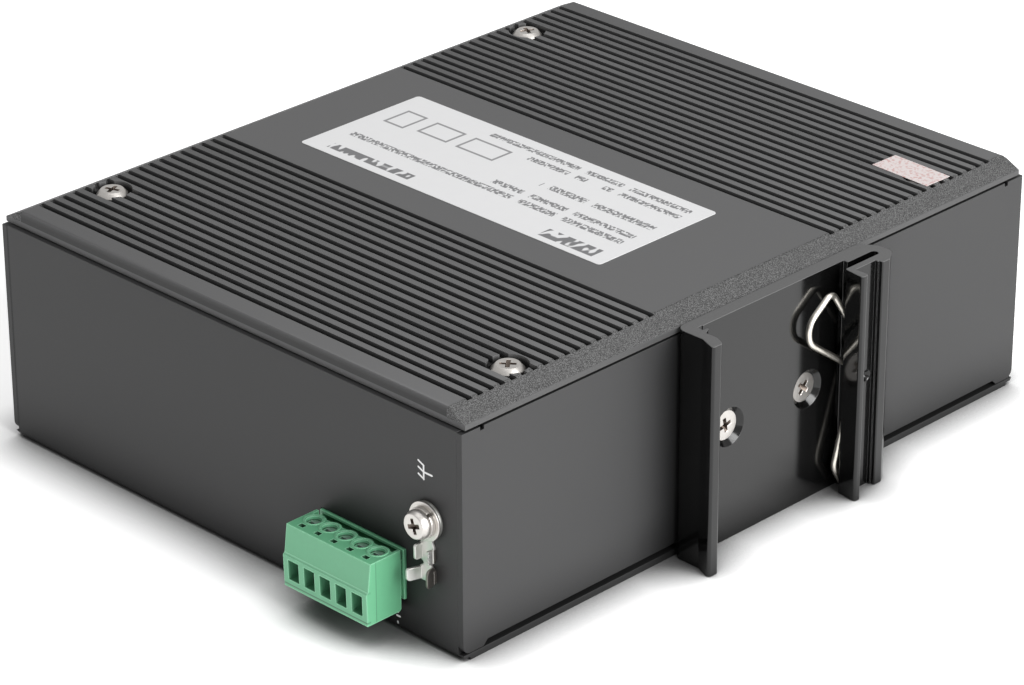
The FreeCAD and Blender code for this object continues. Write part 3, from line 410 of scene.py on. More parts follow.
@dataclass(frozen=True)
class GlossBlack:
    """Glossy black anodising with faint extrusion lines and sawn, duller ends."""

    name: str = "black_anodised"
    colour: Colour = grey(0.0025)
    cut: Colour = grey(0.10)
    cut_z: float = 21.6

    def build(self) -> bpy.types.Material:
        """Makes the material.

        Returns:
            The finished material.
        """
        sheet = Sheet(self.name)
        _, _, z = sheet.axes()
        lines = sheet.noise(3.0, 2.0, 0.5, (1.0, 1.0, 0.01))
        saw = sheet.noise(3.0, 2.0, 0.6)
        end = abs(z).above(self.cut_z, 0.04)
        # painted highlight: the sharp edges are mixed pale grey
        edge_lit = sheet.mix(sheet.edges(0.10) * 0.55, self.colour, grey(0.16))
        base = sheet.mix(end * (0.75 + 0.35 * saw), edge_lit, self.cut)
        normal = sheet.bump(lines, 0.003, 0.3, sheet.soft_edges(0.10))
        return sheet.finish(Base_Color=base, Roughness=0.10 + 0.06 * lines + end * 0.35, Normal=normal)


@dataclass(frozen=True)
class Plated:
    """Plated steel with light wear and painted shade in recesses."""

    name: str
    colour: Colour
    roughness: float = 0.26
    metallic: float = 1.0
    recess_shade: Colour = (0.09, 0.065, 0.05)

    def build(self) -> bpy.types.Material:
        """Makes the material.

        Returns:
            The finished material.
        """
        sheet = Sheet(self.name)
        wear = sheet.noise(1.5, 3.0, 0.6)
        base = sheet.mix(wear, scaled(self.colour, 0.86), self.colour)
        # painted shade in recesses, by the piece's recess values
        base = sheet.mix(sheet.painted(), base, self.recess_shade)
        normal = sheet.bump(wear, 0.02, 0.5, sheet.soft_edges(0.10))
        return sheet.finish(
            Base_Color=base, Metallic=self.metallic, Roughness=self.roughness + 0.14 * wear, Normal=normal
        )


@dataclass(frozen=True)
class Moulded:
    """Moulded plastic with a fine skin, painted highlight on the edges and painted shade in recesses."""

    name: str
    colour: Colour
    roughness: float = 0.35
    recess_shade: float = 0.25
    edge: float = 0.0

    def build(self) -> bpy.types.Material:
        """Makes the material.

        Returns:
            The finished material.
        """
        sheet = Sheet(self.name)
        skin = sheet.noise(1.2, 2.0, 0.5)
        base = sheet.mix(skin, scaled(self.colour, 0.95), scaled(self.colour, 1.04))
        # painted highlight: the sharp edges are mixed paler, by the edge field's strength
        if self.edge > 0.0:
            base = sheet.mix(sheet.edges(0.34) * self.edge, base, scaled(self.colour, 1.4, 0.12))
        # painted shade in recesses, by the piece's recess values
        base = sheet.mix(sheet.painted(), base, scaled(self.colour, self.recess_shade))
        base = self.lines(sheet, base)
        normal = sheet.bump(skin, 0.008, 0.5, sheet.soft_edges(0.15))
        return sheet.finish(Base_Color=base, Roughness=self.roughness + 0.1 * skin, Normal=normal)

    def lines(self, sheet: Sheet, base: Sock) -> Sock:
        """Leaves the colour plain; kinds with joint lines draw them."""
        return base


@dataclass(frozen=True)
class PlugPlastic(Moulded):
    """Terminal plastic with the plug's joint line and the groove over its foot."""

    joint_y: float = -77.75
    groove_z: float = -16.1
    front_y: float = -79.0
    step_z: float = -10.75
    side_x: float = -15.95
    band: tuple[float, float] = (-16.6, -5.5)

    def lines(self, sheet: Sheet, base: Sock) -> Sock:
        """Paints shade beyond the plug's side, draws the joint line and the foot groove, and paints the shade
        under the upper face.

        Args:
            sheet: the material's nodes.
            base: the plain colour.

        Returns:
            The colour with its lines.
        """
        x, y, z = sheet.axes()
        # painted shade on the faces beyond the plug's +X side
        base = sheet.mix(x.above(self.side_x, 0.05) * 0.3, base, scaled(self.colour, 0.25))
        joint = sheet.within(y, self.joint_y - 0.07, self.joint_y + 0.07, 0.04)
        low = z.above(self.band[0], 0.05) * (1.0 - z.above(self.band[1], 0.1))
        front = 1.0 - y.above(self.front_y, 0.1)
        groove = sheet.within(z, self.groove_z - 0.12, self.groove_z + 0.12, 0.08) * front
        step = sheet.within(z, self.step_z - 0.05, self.step_z + 0.35, 0.25) * front
        dark = (joint * low * 0.75 + groove * 0.8 + step * 0.3).clamp()
        strip = 1.0 - y.above(self.joint_y, 0.05)
        lit = sheet.mix(strip * low * 0.05, base, scaled(self.colour, 1.3, 0.1))
        return sheet.mix(dark, lit, scaled(self.colour, 0.3))


@dataclass(frozen=True)
class PrintedFoil:
    """Pale foil with rows of noise strokes that spell nothing, and empty frames."""

    name: str = "label_foil"
    colour: Colour = (0.71, 0.71, 0.715)
    ink: Colour = (0.055, 0.055, 0.06)
    middle: tuple[float, float] = (-63.5, 0.0)
    rows: tuple[Stroke, ...] = (
        (-33.7, 34.2, -6.5, -4.8),
        (-0.2, 34.2, -3.5, -1.9),
        (7.0, 34.2, 1.4, 3.2),
        (15.8, 34.2, 8.1, 9.6),
        (-2.7, 11.7, 8.1, 9.6),
        (-15.0, 34.2, 11.0, 12.5),
    )
    heads: tuple[Stroke, ...] = ((21.3, 34.2, -13.5, -10.3), (-32.5, -11.5, -13.1, -10.9))
    fields: tuple[Stroke, ...] = ((-16.0, -6.5, 3.2, 8.7), (-26.0, -18.3, 3.2, 8.7), (-33.8, -28.6, 2.2, 8.9))
    frame_width: float = 0.55

    def build(self) -> bpy.types.Material:
        """Makes the material.

        Returns:
            The finished material.
        """
        sheet = Sheet(self.name)
        x, y, _ = sheet.axes()
        across, up = x - self.middle[0], y - self.middle[1]
        letters = sheet.noise(2.3, 0.0, 0.5, (1.0, 0.6, 0.0)).above(0.45, 0.12)
        words = sheet.noise(0.28, 0.0, 0.5, (1.0, 0.0, 0.0)).above(0.36, 0.02)
        blocks = sheet.noise(0.8, 0.0, 0.5, (1.0, 0.5, 0.0)).above(0.42, 0.08)
        small = self._area(sheet, across, up, self.rows, 0.0) * letters * words
        large = self._area(sheet, across, up, self.heads, 0.0) * blocks
        outside = self._area(sheet, across, up, self.fields, 0.0)
        frames = outside - self._area(sheet, across, up, self.fields, self.frame_width)
        ink = (small * 0.8 + large * 0.85 + frames * 0.7).clamp()
        paper = sheet.mix(sheet.noise(0.4, 2.0), scaled(self.colour, 0.97), self.colour)
        normal = sheet.bump(sheet.noise(0.5, 2.0), 0.01, 0.3, sheet.soft_edges(0.08))
        return sheet.finish(Base_Color=sheet.mix(ink, paper, self.ink), Roughness=0.42, Normal=normal)

    @staticmethod
    def _area(sheet: Sheet, across: Sock, up: Sock, boxes: tuple[Stroke, ...], inset: float) -> Sock:
        """Mask of several rectangles.

        Args:
            sheet: the material's nodes.
            across: first coordinate.
            up: second coordinate.
            boxes: low and high limit of each rectangle in the two coordinates.
            inset: how far each side is moved in.

        Returns:
            The mask.
        """
        total: Value = 0.0
        for x0, x1, y0, y1 in boxes:
            wide = sheet.within(across, x0 + inset, x1 - inset, 0.12)
            total = wide * sheet.within(up, y0 + inset, y1 - inset, 0.12) + total
        return total


@dataclass(frozen=True)
class SealFilm:
    """Brittle white film with a faint red mottle."""

    name: str = "seal_film"
    colour: Colour = (0.66, 0.60, 0.59)
    ink: Colour = (0.50, 0.22, 0.20)

    def build(self) -> bpy.types.Material:
        """Makes the material.

        Returns:
            The finished material.
        """
        sheet = Sheet(self.name)
        mottle = sheet.noise(1.4, 2.0, 0.6, (1.0, 1.0, 0.0)).above(0.56, 0.12)
        base = sheet.mix(mottle * 0.6, self.colour, self.ink)
        normal = sheet.bump(sheet.noise(0.6, 2.0), 0.02, 0.4, sheet.soft_edges(0.06))
        return sheet.finish(Base_Color=base, Roughness=0.5, Normal=normal)


FINISHES = [
    PowderCoat(),
    BlastedMetal(),
    GlossBlack(),
    Plated("bright_nickel", (0.64, 0.615, 0.585), 0.30),
    Plated("spring_steel", (0.86, 0.82, 0.74), 0.24),
    Plated("zinc_plate", (0.66, 0.67, 0.69), 0.32),
    Plated("tin_plate", (0.66, 0.66, 0.63), 0.34),
    Plated("jack_plate", (0.70, 0.70, 0.68), 0.28),
    Plated("gold_contact", (0.85, 0.62, 0.25), 0.2),
    Plated("capacitor_can", (0.05, 0.06, 0.12), 0.4),
    PrintedFoil(),
    SealFilm(),
    Moulded("board_green", (0.02, 0.12, 0.05), 0.4),
    Moulded("black_resin", (0.02, 0.02, 0.022), 0.4),
    Moulded("ferrite", (0.06, 0.06, 0.06), 0.6),
    Moulded("led_lens", (0.10, 0.45, 0.12), 0.15),
    PlugPlastic("terminal_green", (0.132, 0.415, 0.228), 0.34, edge=1.0, recess_shade=0.12),
]


# ------------------------------------------------------------------ pieces
class Workshop:
    """Holds the finishes and dresses, copies and registers pieces."""

    def __init__(self) -> None:
        """Builds every finish once."""
        self.finishes = {finish.name: finish.build() for finish in FINISHES}
        self.slots = {entry["node"]: entry["material_slot"] for entry in frame["record"]["subparts"]}

    def dress(self, obj: bpy.types.Object, slot: str) -> None:
        """Gives an object one finish."""
        obj.data.materials.clear()
        obj.data.materials.append(self.finishes[slot])

    def dress_node(self, node: str) -> None:
        """Gives a CAD node its finish through its material slots.

        Args:
            node: the node's name.
        """
        obj = frame["nodes"][node]
        if not obj.material_slots:
            obj.data.materials.append(self.finishes[self.slots[node]])
        for holder in obj.material_slots:
            holder.material = self.finishes[self.slots[node]]
        LOG.info("%s: finish %s", node, self.slots[node])

    def add(
        self, name: str, mesh: bmesh.types.BMesh, slot: str, *nodes: str,
        recess_shade: Optional[Pit] = None, sharp: float = 38.0,
    ) -> bpy.types.Object:
        """Turns a bmesh into a finished piece that rides on the root.

        Args:
            name: the piece's name.
            mesh: the shape, in metres in the row frame; it is freed.
            slot: the finish.
            nodes: CAD nodes that it stands for.
            recess_shade: recess value of a face by its centre in millimetres.
            sharp: edges sharper than this many degrees stay crisp.

        Returns:
            The new object.
        """
        bmesh.ops.recalc_face_normals(mesh, faces=mesh.faces)
        for face in mesh.faces:
            face.smooth = True
        for edge in mesh.edges:
            edge.smooth = edge.calc_face_angle(0.0) < math.radians(sharp)
        data = bpy.data.meshes.new(name)
        depths = [recess_shade(f.calc_center_median() * 1000.0) if recess_shade else 0.0 for f in mesh.faces]
        mesh.to_mesh(data)
        mesh.free()
        data.attributes.new(RECESS, "FLOAT", "FACE").data.foreach_set("value", depths)
        obj = bpy.data.objects.new(name, data)
        bpy.context.scene.collection.objects.link(obj)
        weighted = obj.modifiers.new("weighted_normals", "WEIGHTED_NORMAL")
        weighted.keep_sharp = True
        self.dress(obj, slot)
        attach(obj, "root")
        if nodes:
            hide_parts(*nodes)
        LOG.info("%s: %d faces", name, len(data.polygons))
        return obj

    def softened(
        self, node: str, width_mm: float, recess_shade: Optional[Pit] = None, segments: int = 2,
        shift_mm: Colour = (0.0, 0.0, 0.0),
    ) -> bpy.types.Object:
        """Copies a CAD node, merges it and bevels its sharp edges.

        Args:
            node: the CAD node that the copy replaces.
            width_mm: bevel width.
            recess_shade: recess value of a face by its centre in millimetres.
            segments: steps of the bevel.
            shift_mm: how far the copy is moved.

        Returns:
            The new object.
        """
        mesh = bmesh.new()
        mesh.from_mesh(frame["nodes"][node].data)
        bmesh.ops.remove_doubles(mesh, verts=mesh.verts, dist=1e-6)
        bmesh.ops.dissolve_limit(mesh, angle_limit=math.radians(1.0), verts=mesh.verts, edges=mesh.edges)
        limit = math.radians(SHARP_ANGLE)
        sharp = [e for e in mesh.edges if len(e.link_faces) == 2 and e.calc_face_angle(0.0) > limit]
        bmesh.ops.bevel(
            mesh, geom=sharp, offset=width_mm * MM, segments=segments, profile=0.5, affect="EDGES",
            material=-1, clamp_overlap=True,
        )
        bmesh.ops.translate(mesh, verts=mesh.verts, vec=Vector(shift_mm) * MM)
        return self.add(node + "_dressed", mesh, self.slots[node], node, recess_shade=recess_shade)


def turned(
    mesh: bmesh.types.BMesh, outline: list[tuple[float, float]], seat: Colour, steps: int = 40
) -> None:
    """Spins a closed outline of radius and height round an upright axis.

    Args:
        mesh: receives the ring.
        outline: corners as radius and height in millimetres.
        seat: point on the axis, in millimetres.
        steps: steps round the axis.
    """
    centre = Vector(seat) * MM
    ring = [mesh.verts.new(centre + Vector((r, 0.0, h)) * MM) for r, h in outline]
    edges = [mesh.edges.new((a, b)) for a, b in zip(ring, ring[1:] + ring[:1])]
    bmesh.ops.spin(
        mesh, geom=ring + edges, cent=centre, axis=(0.0, 0.0, 1.0), dvec=(0.0, 0.0, 0.0),
        angle=math.tau, steps=steps, use_merge=True,
    )


class Axis(Enum):
    """The axis that a screw lies on."""

    X = 0
    Y = 1
    Z = 2


@dataclass(frozen=True)
class HeadRecess:
    """Cross recess of screw heads: faces near a screw's axis and below its face, in millimetres."""

    places: tuple[Colour, ...]
    axis: Axis
    reach: float
    sink: float
    deepest: float = 1.4

    def shade(self, centre: Vector) -> float:
        """Recess value of one face.

        Args:
            centre: the face's centre.

        Returns:
            0.9 inside a recess, 0 elsewhere.
        """
        for place in self.places:
            away = centre - Vector(place)
            depth = abs(away[self.axis.value])
            away[self.axis.value] = 0.0
            if away.length < self.reach and self.sink < depth < self.deepest:
                return 0.9
        return 0.0


@dataclass
class Housing:
    """Folded wrap, end panels and grooved cover, with the cover's label, seal and screws."""

    wrap_edge: float = 0.12
    panel_edge: float = 0.10
    cover_edge: float = 0.10
    plate_edge: float = 0.03
    screw_edge: float = 0.10
    seal_shift: Colour = (0.6, 0.3, 0.0)
    screw_lift: float = 0.2
    screw_x: tuple[float, float] = (-109.5, -10.7)
    screw_y: tuple[float, float] = (-52.4, 52.4)
    screw_top: float = 23.45

    def build(self, shop: Workshop) -> None:
        """Softens the sheets, the cover, its plates and its screws.

        Args:
            shop: registers the pieces.
        """
        shop.softened("housing_wrap", self.wrap_edge)
        shop.softened("front_panel", self.panel_edge)
        shop.softened("rear_panel", self.panel_edge)
        shop.softened("finned_cover", self.cover_edge)
        shop.softened("rating_label", self.plate_edge)
        shop.softened("seal_sticker", self.plate_edge, shift_mm=self.seal_shift)
        heads = tuple((x, y, self.screw_top) for x in self.screw_x for y in self.screw_y)
        recess = HeadRecess(heads, Axis.Z, 1.7, 0.12)
        shop.softened("cover_screws", self.screw_edge, recess_shade=recess.shade, shift_mm=(0.0, 0.0, self.screw_lift))


class Fold(Enum):
    """Which side of the lug a wing folds up from."""

    LEFT = -1
    RIGHT = 1


@dataclass
class Wing:
    """One folded wing of the lug: its side, foot, height, reach, lean, corner radius and teeth."""

    side: Fold
    foot: float
    low: float
    high: float
    reach: float
    flare: float
    corner: float
    teeth: int = 0

    def outline(self, wall: float) -> list[Vector]:
        """Corners in the Y-Z plane, from the wall side outwards, with teeth on the tip.

        Args:
            wall: the plane that the wing stands on.

        Returns:
            The corners in millimetres.
        """
        tip = wall - self.reach
        points = [Vector((0.0, wall, self.low)), Vector((0.0, tip, self.low))]
        pitch = (self.high - self.low) / (self.teeth + 1)
        for i in range(self.teeth):
            middle = self.low + pitch * (i + 1)
            for off, depth in ((-0.22, 0.0), (0.0, 0.25), (0.22, 0.0)):
                points.append(Vector((0.0, tip + depth, middle + off)))
        return points + [Vector((0.0, tip, self.high)), Vector((0.0, wall, self.high))]


@dataclass
class EarthLug:
    """Crimp lug: ring, waisted strap, open wire barrel and open grip, all of one sheet."""

    axis: tuple[float, float] = (-10.4, 2.0)
    wall: float = -71.0
    thick: float = 0.5
    ring: float = 3.3
    half_strap: tuple[tuple[float, float], ...] = (
        (1.2, -0.9),
        (1.25, -2.0),
        (1.6, -2.7),
        (1.65, -5.4),
        (0.75, -5.8),
        (0.8, -6.3),
        (1.7, -6.8),
        (1.7, -9.3),
    )
    wings: tuple[Wing, ...] = (
        Wing(Fold.LEFT, 1.55, -5.3, -2.5, 1.9, 0.1, 0.45),
        Wing(Fold.RIGHT, 1.5, -5.5, -3.0, 1.5, -0.1, 0.2, 3),
        Wing(Fold.LEFT, 1.7, -9.2, -6.9, 2.9, 0.9, 0.45),
        Wing(Fold.RIGHT, 1.6, -9.5, -6.2, 2.4, 0.5, 0.85),
    )

    def build(self, shop: Workshop) -> None:
        """Makes the lug in place of its plain solid.

        Args:
            shop: registers the piece.
        """
        mesh = bmesh.new()
        self._strap(mesh)
        for wing in self.wings:
            self._wing(mesh, wing)
        shop.add("earth_lug_dressed", mesh, "tin_plate", "earth_lug", recess_shade=self.shade)

    def shade(self, centre: Vector) -> float:
        """Darkens the right-hand wings."""
        return 0.7 if centre.x > self.axis[0] + 1.45 and centre.z < -2.9 else 0.0

    def _strap(self, mesh: bmesh.types.BMesh) -> None:
        """Flat part on the wall: ring, neck, barrel base, waist and grip base.

        Args:
            mesh: receives the strap.
        """
        right = list(self.half_strap)
        outline = right + [(-x, z) for x, z in reversed(right)]
        corners = [Vector((self.axis[0] + x, self.wall, z)) for x, z in outline]
        self._plate(mesh, corners, (0.0, -self.thick, 0.0), 0.25)
        circle = bmesh.ops.create_circle(mesh, cap_ends=True, segments=40, radius=self.ring * MM)["verts"]
        bmesh.ops.rotate(mesh, verts=circle, cent=(0, 0, 0), matrix=Matrix.Rotation(math.pi / 2, 3, "X"))
        bmesh.ops.translate(mesh, verts=circle, vec=Vector((self.axis[0], self.wall, self.axis[1])) * MM)
        self._thicken(mesh, circle[0].link_faces[0], Vector((0.0, -self.thick, 0.0)))

    def _wing(self, mesh: bmesh.types.BMesh, wing: Wing) -> None:
        """One wing, leaning out by its flare.

        Args:
            mesh: receives the wing.
            wing: its sizes.
        """
        sign = wing.side.value
        shift = Vector((self.axis[0] + sign * wing.foot, 0.0, 0.0))
        corners = [point + shift for point in wing.outline(self.wall)]
        added = self._plate(mesh, corners, (-sign * self.thick, 0.0, 0.0), wing.corner)
        for vert in added:
            out = (self.wall * MM - vert.co.y) / (wing.reach * MM)
            vert.co.x += sign * wing.flare * MM * out * out

    def _plate(
        self, mesh: bmesh.types.BMesh, corners: list[Vector], thickness: Colour, radius: float
    ) -> list[bmesh.types.BMVert]:
        """Fills an outline, rounds its corners and thickens it.

        Args:
            mesh: receives the plate.
            corners: outline in millimetres.
            thickness: vector of the sheet thickness in millimetres.
            radius: corner rounding.

        Returns:
            All vertices of the plate.
        """
        verts = [mesh.verts.new(corner * MM) for corner in corners]
        face = mesh.faces.new(verts)
        rounded = bmesh.ops.bevel(
            mesh, geom=verts, offset=radius * MM, segments=4, profile=0.5, affect="VERTICES",
            clamp_overlap=True,
        )
        face = rounded["verts"][0].link_faces[0] if rounded["verts"] else face
        return self._thicken(mesh, face, Vector(thickness))

    @staticmethod
    def _thicken(
        mesh: bmesh.types.BMesh, face: bmesh.types.BMFace, thickness: Vector
    ) -> list[bmesh.types.BMVert]:
        """Extrudes a face, keeps its back and rounds the rim.

        Args:
            mesh: holds the face.
            face: the flat outline.
            thickness: the extrusion in millimetres.

        Returns:
            All vertices of the plate.
        """
        first = list(face.verts)
        made = bmesh.ops.extrude_face_region(mesh, geom=[face], use_keep_orig=True)
        fresh = [item for item in made["geom"] if isinstance(item, bmesh.types.BMVert)]
        bmesh.ops.translate(mesh, verts=fresh, vec=thickness * MM)
        rim = [e for e in mesh.edges if (e.verts[0] in fresh and e.verts[1] in fresh)]
        soft = bmesh.ops.bevel(
            mesh, geom=rim, offset=0.1 * MM, segments=2, profile=0.5, affect="EDGES",
            material=-1, clamp_overlap=True,
        )
        return first + [v for v in fresh if v.is_valid] + [v for v in soft["verts"] if v.is_valid]


@dataclass
class SpringWire:
    """Round wire spring bent in one plane behind the rail stop."""

    radius: float = 0.56
    plane: float = 1.8
    sides: int = 16
    corners: tuple[Colour, ...] = (
        (19.6, 9.0, 0.0),
        (13.6, 17.9, 1.5),
        (5.3, 11.9, 3.6),
        (20.7, 0.8, 1.2),
        (15.5, -16.8, 3.0),
        (18.2, -20.9, 0.0),
    )

    def build(self, shop: Workshop) -> None:
        """Sweeps the wire in place of its plain solid.

        Args:
            shop: registers the piece.
        """
        mesh = bmesh.new()
        points = [Vector((self.plane, y, z)) * MM for y, z, _ in self.corners]
        radii = [r * MM for _, _, r in self.corners]
        heading = (points[1] - points[0]).normalized()
        round_end = bmesh.ops.create_circle(mesh, cap_ends=True, segments=self.sides, radius=self.radius * MM)
        circle = round_end["verts"]
        turn = Vector((0.0, 0.0, 1.0)).rotation_difference(heading).to_matrix()
        bmesh.ops.rotate(mesh, verts=circle, cent=(0.0, 0.0, 0.0), matrix=turn)
        bmesh.ops.translate(mesh, verts=circle, vec=points[0])
        face = circle[0].link_faces[0]
        place = points[0]
        for before, corner, after, radius in zip(points, points[1:], points[2:], radii[1:]):
            into = (corner - before).normalized()
            away = (after - corner).normalized()
            angle = into.angle(away)
            run = radius * math.tan(angle / 2.0)
            face = self._straight(mesh, face, corner - into * run - place)
            axis = into.cross(away).normalized()
            centre = corner - into * run + axis.cross(into) * radius
            face = self._bend(mesh, face, centre, axis, angle)
            place = corner + away * run
        self._straight(mesh, face, points[-1] - place)
        shop.add("spring_wire_dressed", mesh, "spring_steel", "spring_wire", sharp=60.0)

    @staticmethod
    def _straight(mesh: bmesh.types.BMesh, face: bmesh.types.BMFace, vec: Vector) -> bmesh.types.BMFace:
        """Extrudes the wire's end along a vector.

        Args:
            mesh: holds the wire.
            face: its end.
            vec: the run in metres.

        Returns:
            The new end.
        """
        made = bmesh.ops.extrude_face_region(mesh, geom=[face])["geom"]
        verts = [item for item in made if isinstance(item, bmesh.types.BMVert)]
        bmesh.ops.translate(mesh, verts=verts, vec=vec)
        if face.is_valid:
            bmesh.ops.delete(mesh, geom=[face], context="FACES_ONLY")
        return [item for item in made if isinstance(item, bmesh.types.BMFace)][0]

    @staticmethod
    def _bend(
        mesh: bmesh.types.BMesh, face: bmesh.types.BMFace, centre: Vector, axis: Vector, angle: float
    ) -> bmesh.types.BMFace:
        """Spins the wire's end round a bend's centre.

        Args:
            mesh: holds the wire.
            face: its end.
            centre: the bend's centre in metres.
            axis: the bend's axis.
            angle: the bend's angle in radians.

        Returns:
            The new end.
        """
        steps = max(4, int(angle / math.radians(9.0)))
        made = bmesh.ops.spin(
            mesh, geom=[face] + list(face.edges) + list(face.verts), cent=centre, axis=axis,
            dvec=(0.0, 0.0, 0.0), angle=angle, steps=steps,
        )["geom_last"]
        if face.is_valid:
            bmesh.ops.delete(mesh, geom=[face], context="FACES_ONLY")
        return [item for item in made if isinstance(item, bmesh.types.BMFace)][0]


@dataclass
class RailBracket:
    """Extruded rail bracket with its countersunk screws and wire spring."""

    edge: float = 0.05
    screw_edge: float = 0.08
    screw_x: float = -0.9
    screw_y: tuple[float, float] = (-10.0, 10.0)

    def build(self, shop: Workshop) -> None:
        """Softens the extrusion and its screws, and adds the spring.

        Args:
            shop: registers the pieces.
        """
        shop.softened("din_bracket", self.edge)
        recess = HeadRecess(tuple((self.screw_x, y, 0.0) for y in self.screw_y), Axis.X, 1.6, 0.08)
        shop.softened("bracket_screws", self.screw_edge, recess_shade=recess.shade)
        SpringWire().build(shop)


@dataclass
class EarthPoint:
    """Protective earth point: washers, screw and lug."""

    washer_edge: float = 0.12
    screw_edge: float = 0.18
    screw_face: Colour = (-10.4, -74.5, 2.0)

    def build(self, shop: Workshop) -> None:
        """Softens the washers and the screw, and adds the lug.

        Args:
            shop: registers the pieces.
        """
        shop.softened("earth_washer", self.washer_edge)
        shop.softened("lock_washer", self.washer_edge)
        recess = HeadRecess((self.screw_face,), Axis.Y, 1.7, 0.12)
        shop.softened("earth_screw", self.screw_edge, recess_shade=recess.shade, segments=3)
        EarthLug().build(shop)


@dataclass
class PoleCollars:
    """Raised collars with stepped mouths round the plug's screw wells."""

    poles: tuple[float, ...] = (-33.545, -29.735, -25.925, -22.115, -18.305)
    well_y: float = -75.0
    top: float = -5.4
    outer: float = 1.88
    mouth: float = 1.5
    bore: float = 1.05
    step: float = 0.75

    def build(self, shop: Workshop) -> None:
        """Makes one stepped ring for each pole.

        Args:
            shop: registers the piece.
        """
        mesh = bmesh.new()
        outline = [
            (self.outer, -0.05),
            (self.outer, 0.06),
            (self.outer - 0.12, 0.14),
            (self.mouth + 0.12, 0.14),
            (self.mouth, 0.05),
            (self.mouth - 0.2, -self.step),
            (self.bore, -self.step),
            (self.bore, -self.step - 0.5),
            (self.mouth - 0.1, -self.step - 0.5),
            (self.mouth - 0.1, -self.step - 0.1),
            (self.mouth + 0.1, -0.05),
        ]
        for x in self.poles:
            turned(mesh, outline, (x, self.well_y, self.top))
        shop.add("pole_collars", mesh, "terminal_green", recess_shade=self.shade)

    def shade(self, centre: Vector) -> float:
        """Dark cone and bore, paler step between them.

        Args:
            centre: a face's centre.

        Returns:
            The recess value.
        """
        sunk = self.top - centre.z
        if sunk < 0.0:
            return 0.08
        return 0.2 if abs(sunk - self.step) < 0.02 else 0.9


@dataclass
class Terminal:
    """Header, plug-in screw terminal, clamp screws and the collars round them."""

    edge: float = 0.03
    screw_edge: float = 0.08
    screw_lift: float = 1.88
    poles_x: tuple[float, float] = (-35.0, -17.0)
    entry_y: tuple[float, float] = (-79.75, -76.5)
    entry_z: tuple[float, float] = (-15.2, -11.4)
    slot_y: tuple[float, float] = (-78.3, -76.9)
    slot_z: tuple[float, float] = (-7.5, -5.5)

    def build(self, shop: Workshop) -> None:
        """Softens the mouldings and the screws, and adds the collars.

        Args:
            shop: registers the pieces.
        """
        shop.softened("terminal_header", self.edge)
        shop.softened("terminal_plug", self.edge, recess_shade=self.shade)
        shop.softened("clamp_screws", self.screw_edge, shift_mm=(0.0, 0.0, self.screw_lift))
        PoleCollars().build(shop)

    def shade(self, centre: Vector) -> float:
        """Recess value inside the plug's entries and slots.

        Args:
            centre: a face's centre.

        Returns:
            0.4 in a wire entry, 0.85 in a slot, 0 elsewhere.
        """
        if not self.poles_x[0] < centre.x < self.poles_x[1]:
            return 0.0
        if self.entry_y[0] < centre.y < self.entry_y[1] and self.entry_z[0] < centre.z < self.entry_z[1]:
            return 0.4
        in_slot = self.slot_y[0] < centre.y < self.slot_y[1] and self.slot_z[0] < centre.z < self.slot_z[1]
        return 0.85 if in_slot else 0.0


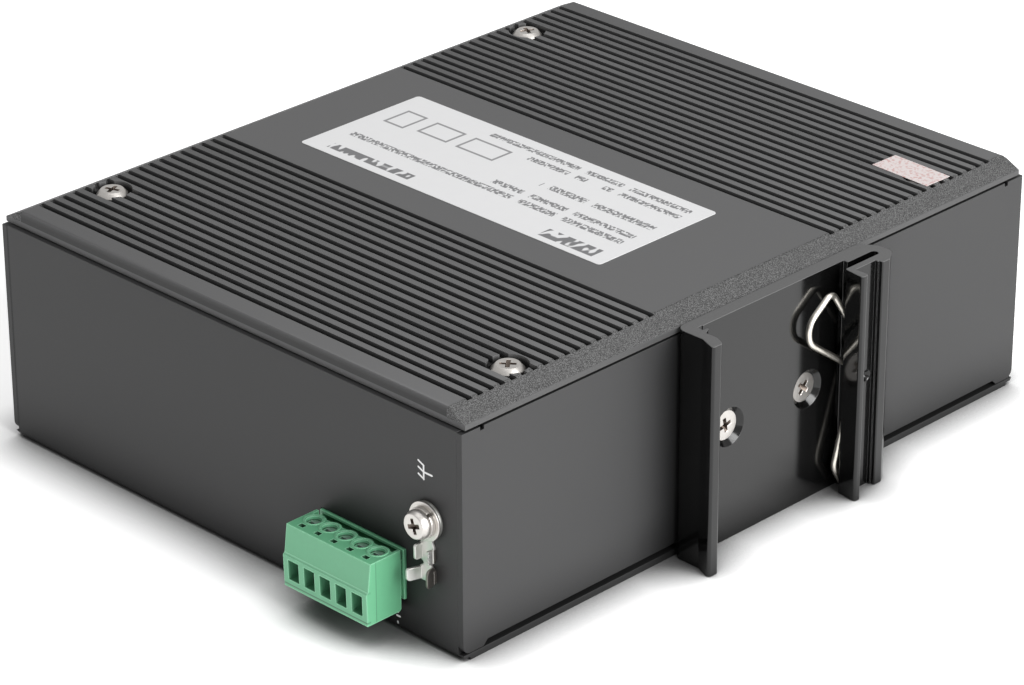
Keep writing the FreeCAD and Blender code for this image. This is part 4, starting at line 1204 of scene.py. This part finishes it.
@dataclass
class Studio:
    """Floor, lamps, world and camera, in metres and degrees."""

    eye: Colour = (0.41584, -0.48077, 0.32540)
    azimuth: float = 44.803
    elevation: float = 26.275
    roll: float = -0.165
    lens: float = 146.5
    shift: tuple[float, float] = (-0.0007, 0.0014)
    floor_z: float = -0.0217
    floor_size: float = 4.0
    floor_glow: float = 0.40
    contact_reach: float = 0.011
    sky: float = 0.38
    sky_in_metal: float = 0.62
    lamp_size: float = 1.0
    lamp_aim: Colour = (-0.06, 0.0, 0.0)

    def build(self) -> None:
        """Makes the whole set."""
        self._floor()
        self._world()
        self._lamp("top", (-0.1, 0.1, 1.2), 3.8)
        self._lamp("right", (1.2, 0.1, 0.6), 28.0)
        self._camera()
        bpy.context.scene.view_settings.view_transform = "Standard"

    def _floor(self) -> None:
        """Plain pale floor with a soft contact shade."""
        mesh = bmesh.new()
        bmesh.ops.create_grid(mesh, x_segments=1, y_segments=1, size=self.floor_size)
        bmesh.ops.translate(mesh, verts=mesh.verts, vec=(0.0, 0.0, self.floor_z))
        data = bpy.data.meshes.new("floor")
        mesh.to_mesh(data)
        mesh.free()
        obj = bpy.data.objects.new("floor", data)
        bpy.context.scene.collection.objects.link(obj)
        sheet = Sheet("floor_white")
        reach = {"Distance": self.contact_reach}
        open_sky = sheet.node("ShaderNodeAmbientOcclusion", {"samples": 10}, reach, "AO")
        lit = open_sky.above(0.70, 0.6)
        base = sheet.mix(lit, grey(0.12), grey(0.97))
        glow = sheet.mix(lit, grey(0.0), grey(1.0))
        values = {"Base_Color": base, "Roughness": 0.9, "Emission_Color": glow}
        data.materials.append(sheet.finish(**values, Emission_Strength=self.floor_glow))

    def _world(self) -> None:
        """Soft even light, brighter where the metal mirrors it."""
        world = bpy.data.worlds.new("studio")
        bpy.context.scene.world = world
        world.use_nodes = True
        nodes = Nodes(world.node_tree)
        mirrored = nodes.node("ShaderNodeLightPath", {}, {}, "Is Glossy Ray")
        levels = {"Value": mirrored, "To Min": self.sky, "To Max": self.sky_in_metal}
        strength = nodes.node("ShaderNodeMapRange", {}, levels)
        light = nodes.node("ShaderNodeBackground", {}, {"Color": grey(1.0), "Strength": strength})
        nodes.make("ShaderNodeOutputWorld", {}, {"Surface": light})

    def _lamp(self, name: str, place: Colour, power: float) -> None:
        """Square area lamp that faces the object.

        Args:
            name: the lamp's name.
            place: where it hangs.
            power: its power in watts.
        """
        data = bpy.data.lights.new(name, "AREA")
        data.shape = "SQUARE"
        data.size = self.lamp_size
        data.energy = power
        obj = bpy.data.objects.new(name, data)
        obj.location = place
        obj.rotation_euler = (Vector(self.lamp_aim) - Vector(place)).to_track_quat("-Z", "Y").to_euler()
        bpy.context.scene.collection.objects.link(obj)

    def _camera(self) -> None:
        """Long lens camera in front of the near corner."""
        azimuth, elevation, roll = (math.radians(a) for a in (self.azimuth, self.elevation, self.roll))
        level = math.cos(elevation)
        right = Vector((math.cos(azimuth), math.sin(azimuth), 0.0))
        back = Vector((math.sin(azimuth) * level, -math.cos(azimuth) * level, math.sin(elevation)))
        up = back.cross(right)
        across = right * math.cos(roll) + up * math.sin(roll)
        upward = up * math.cos(roll) - right * math.sin(roll)
        data = bpy.data.cameras.new("camera")
        data.lens = self.lens
        data.sensor_width = 36.0
        data.shift_x, data.shift_y = self.shift
        data.clip_start = 0.01
        obj = bpy.data.objects.new("camera", data)
        turn = Matrix((across, upward, back)).transposed().to_4x4()
        obj.matrix_world = Matrix.Translation(Vector(self.eye)) @ turn
        bpy.context.scene.collection.objects.link(obj)
        bpy.context.scene.camera = obj


def main() -> None:
    """Builds the dressed switch and its studio."""
    logging.basicConfig(level=logging.INFO)
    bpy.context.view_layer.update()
    shop = Workshop()
    for node in frame["nodes"]:
        shop.dress_node(node)
    for assembly in (Housing(), RailBracket(), EarthPoint(), Terminal()):
        assembly.build(shop)
    Studio().build()


if __name__ == "__main__":
    main()
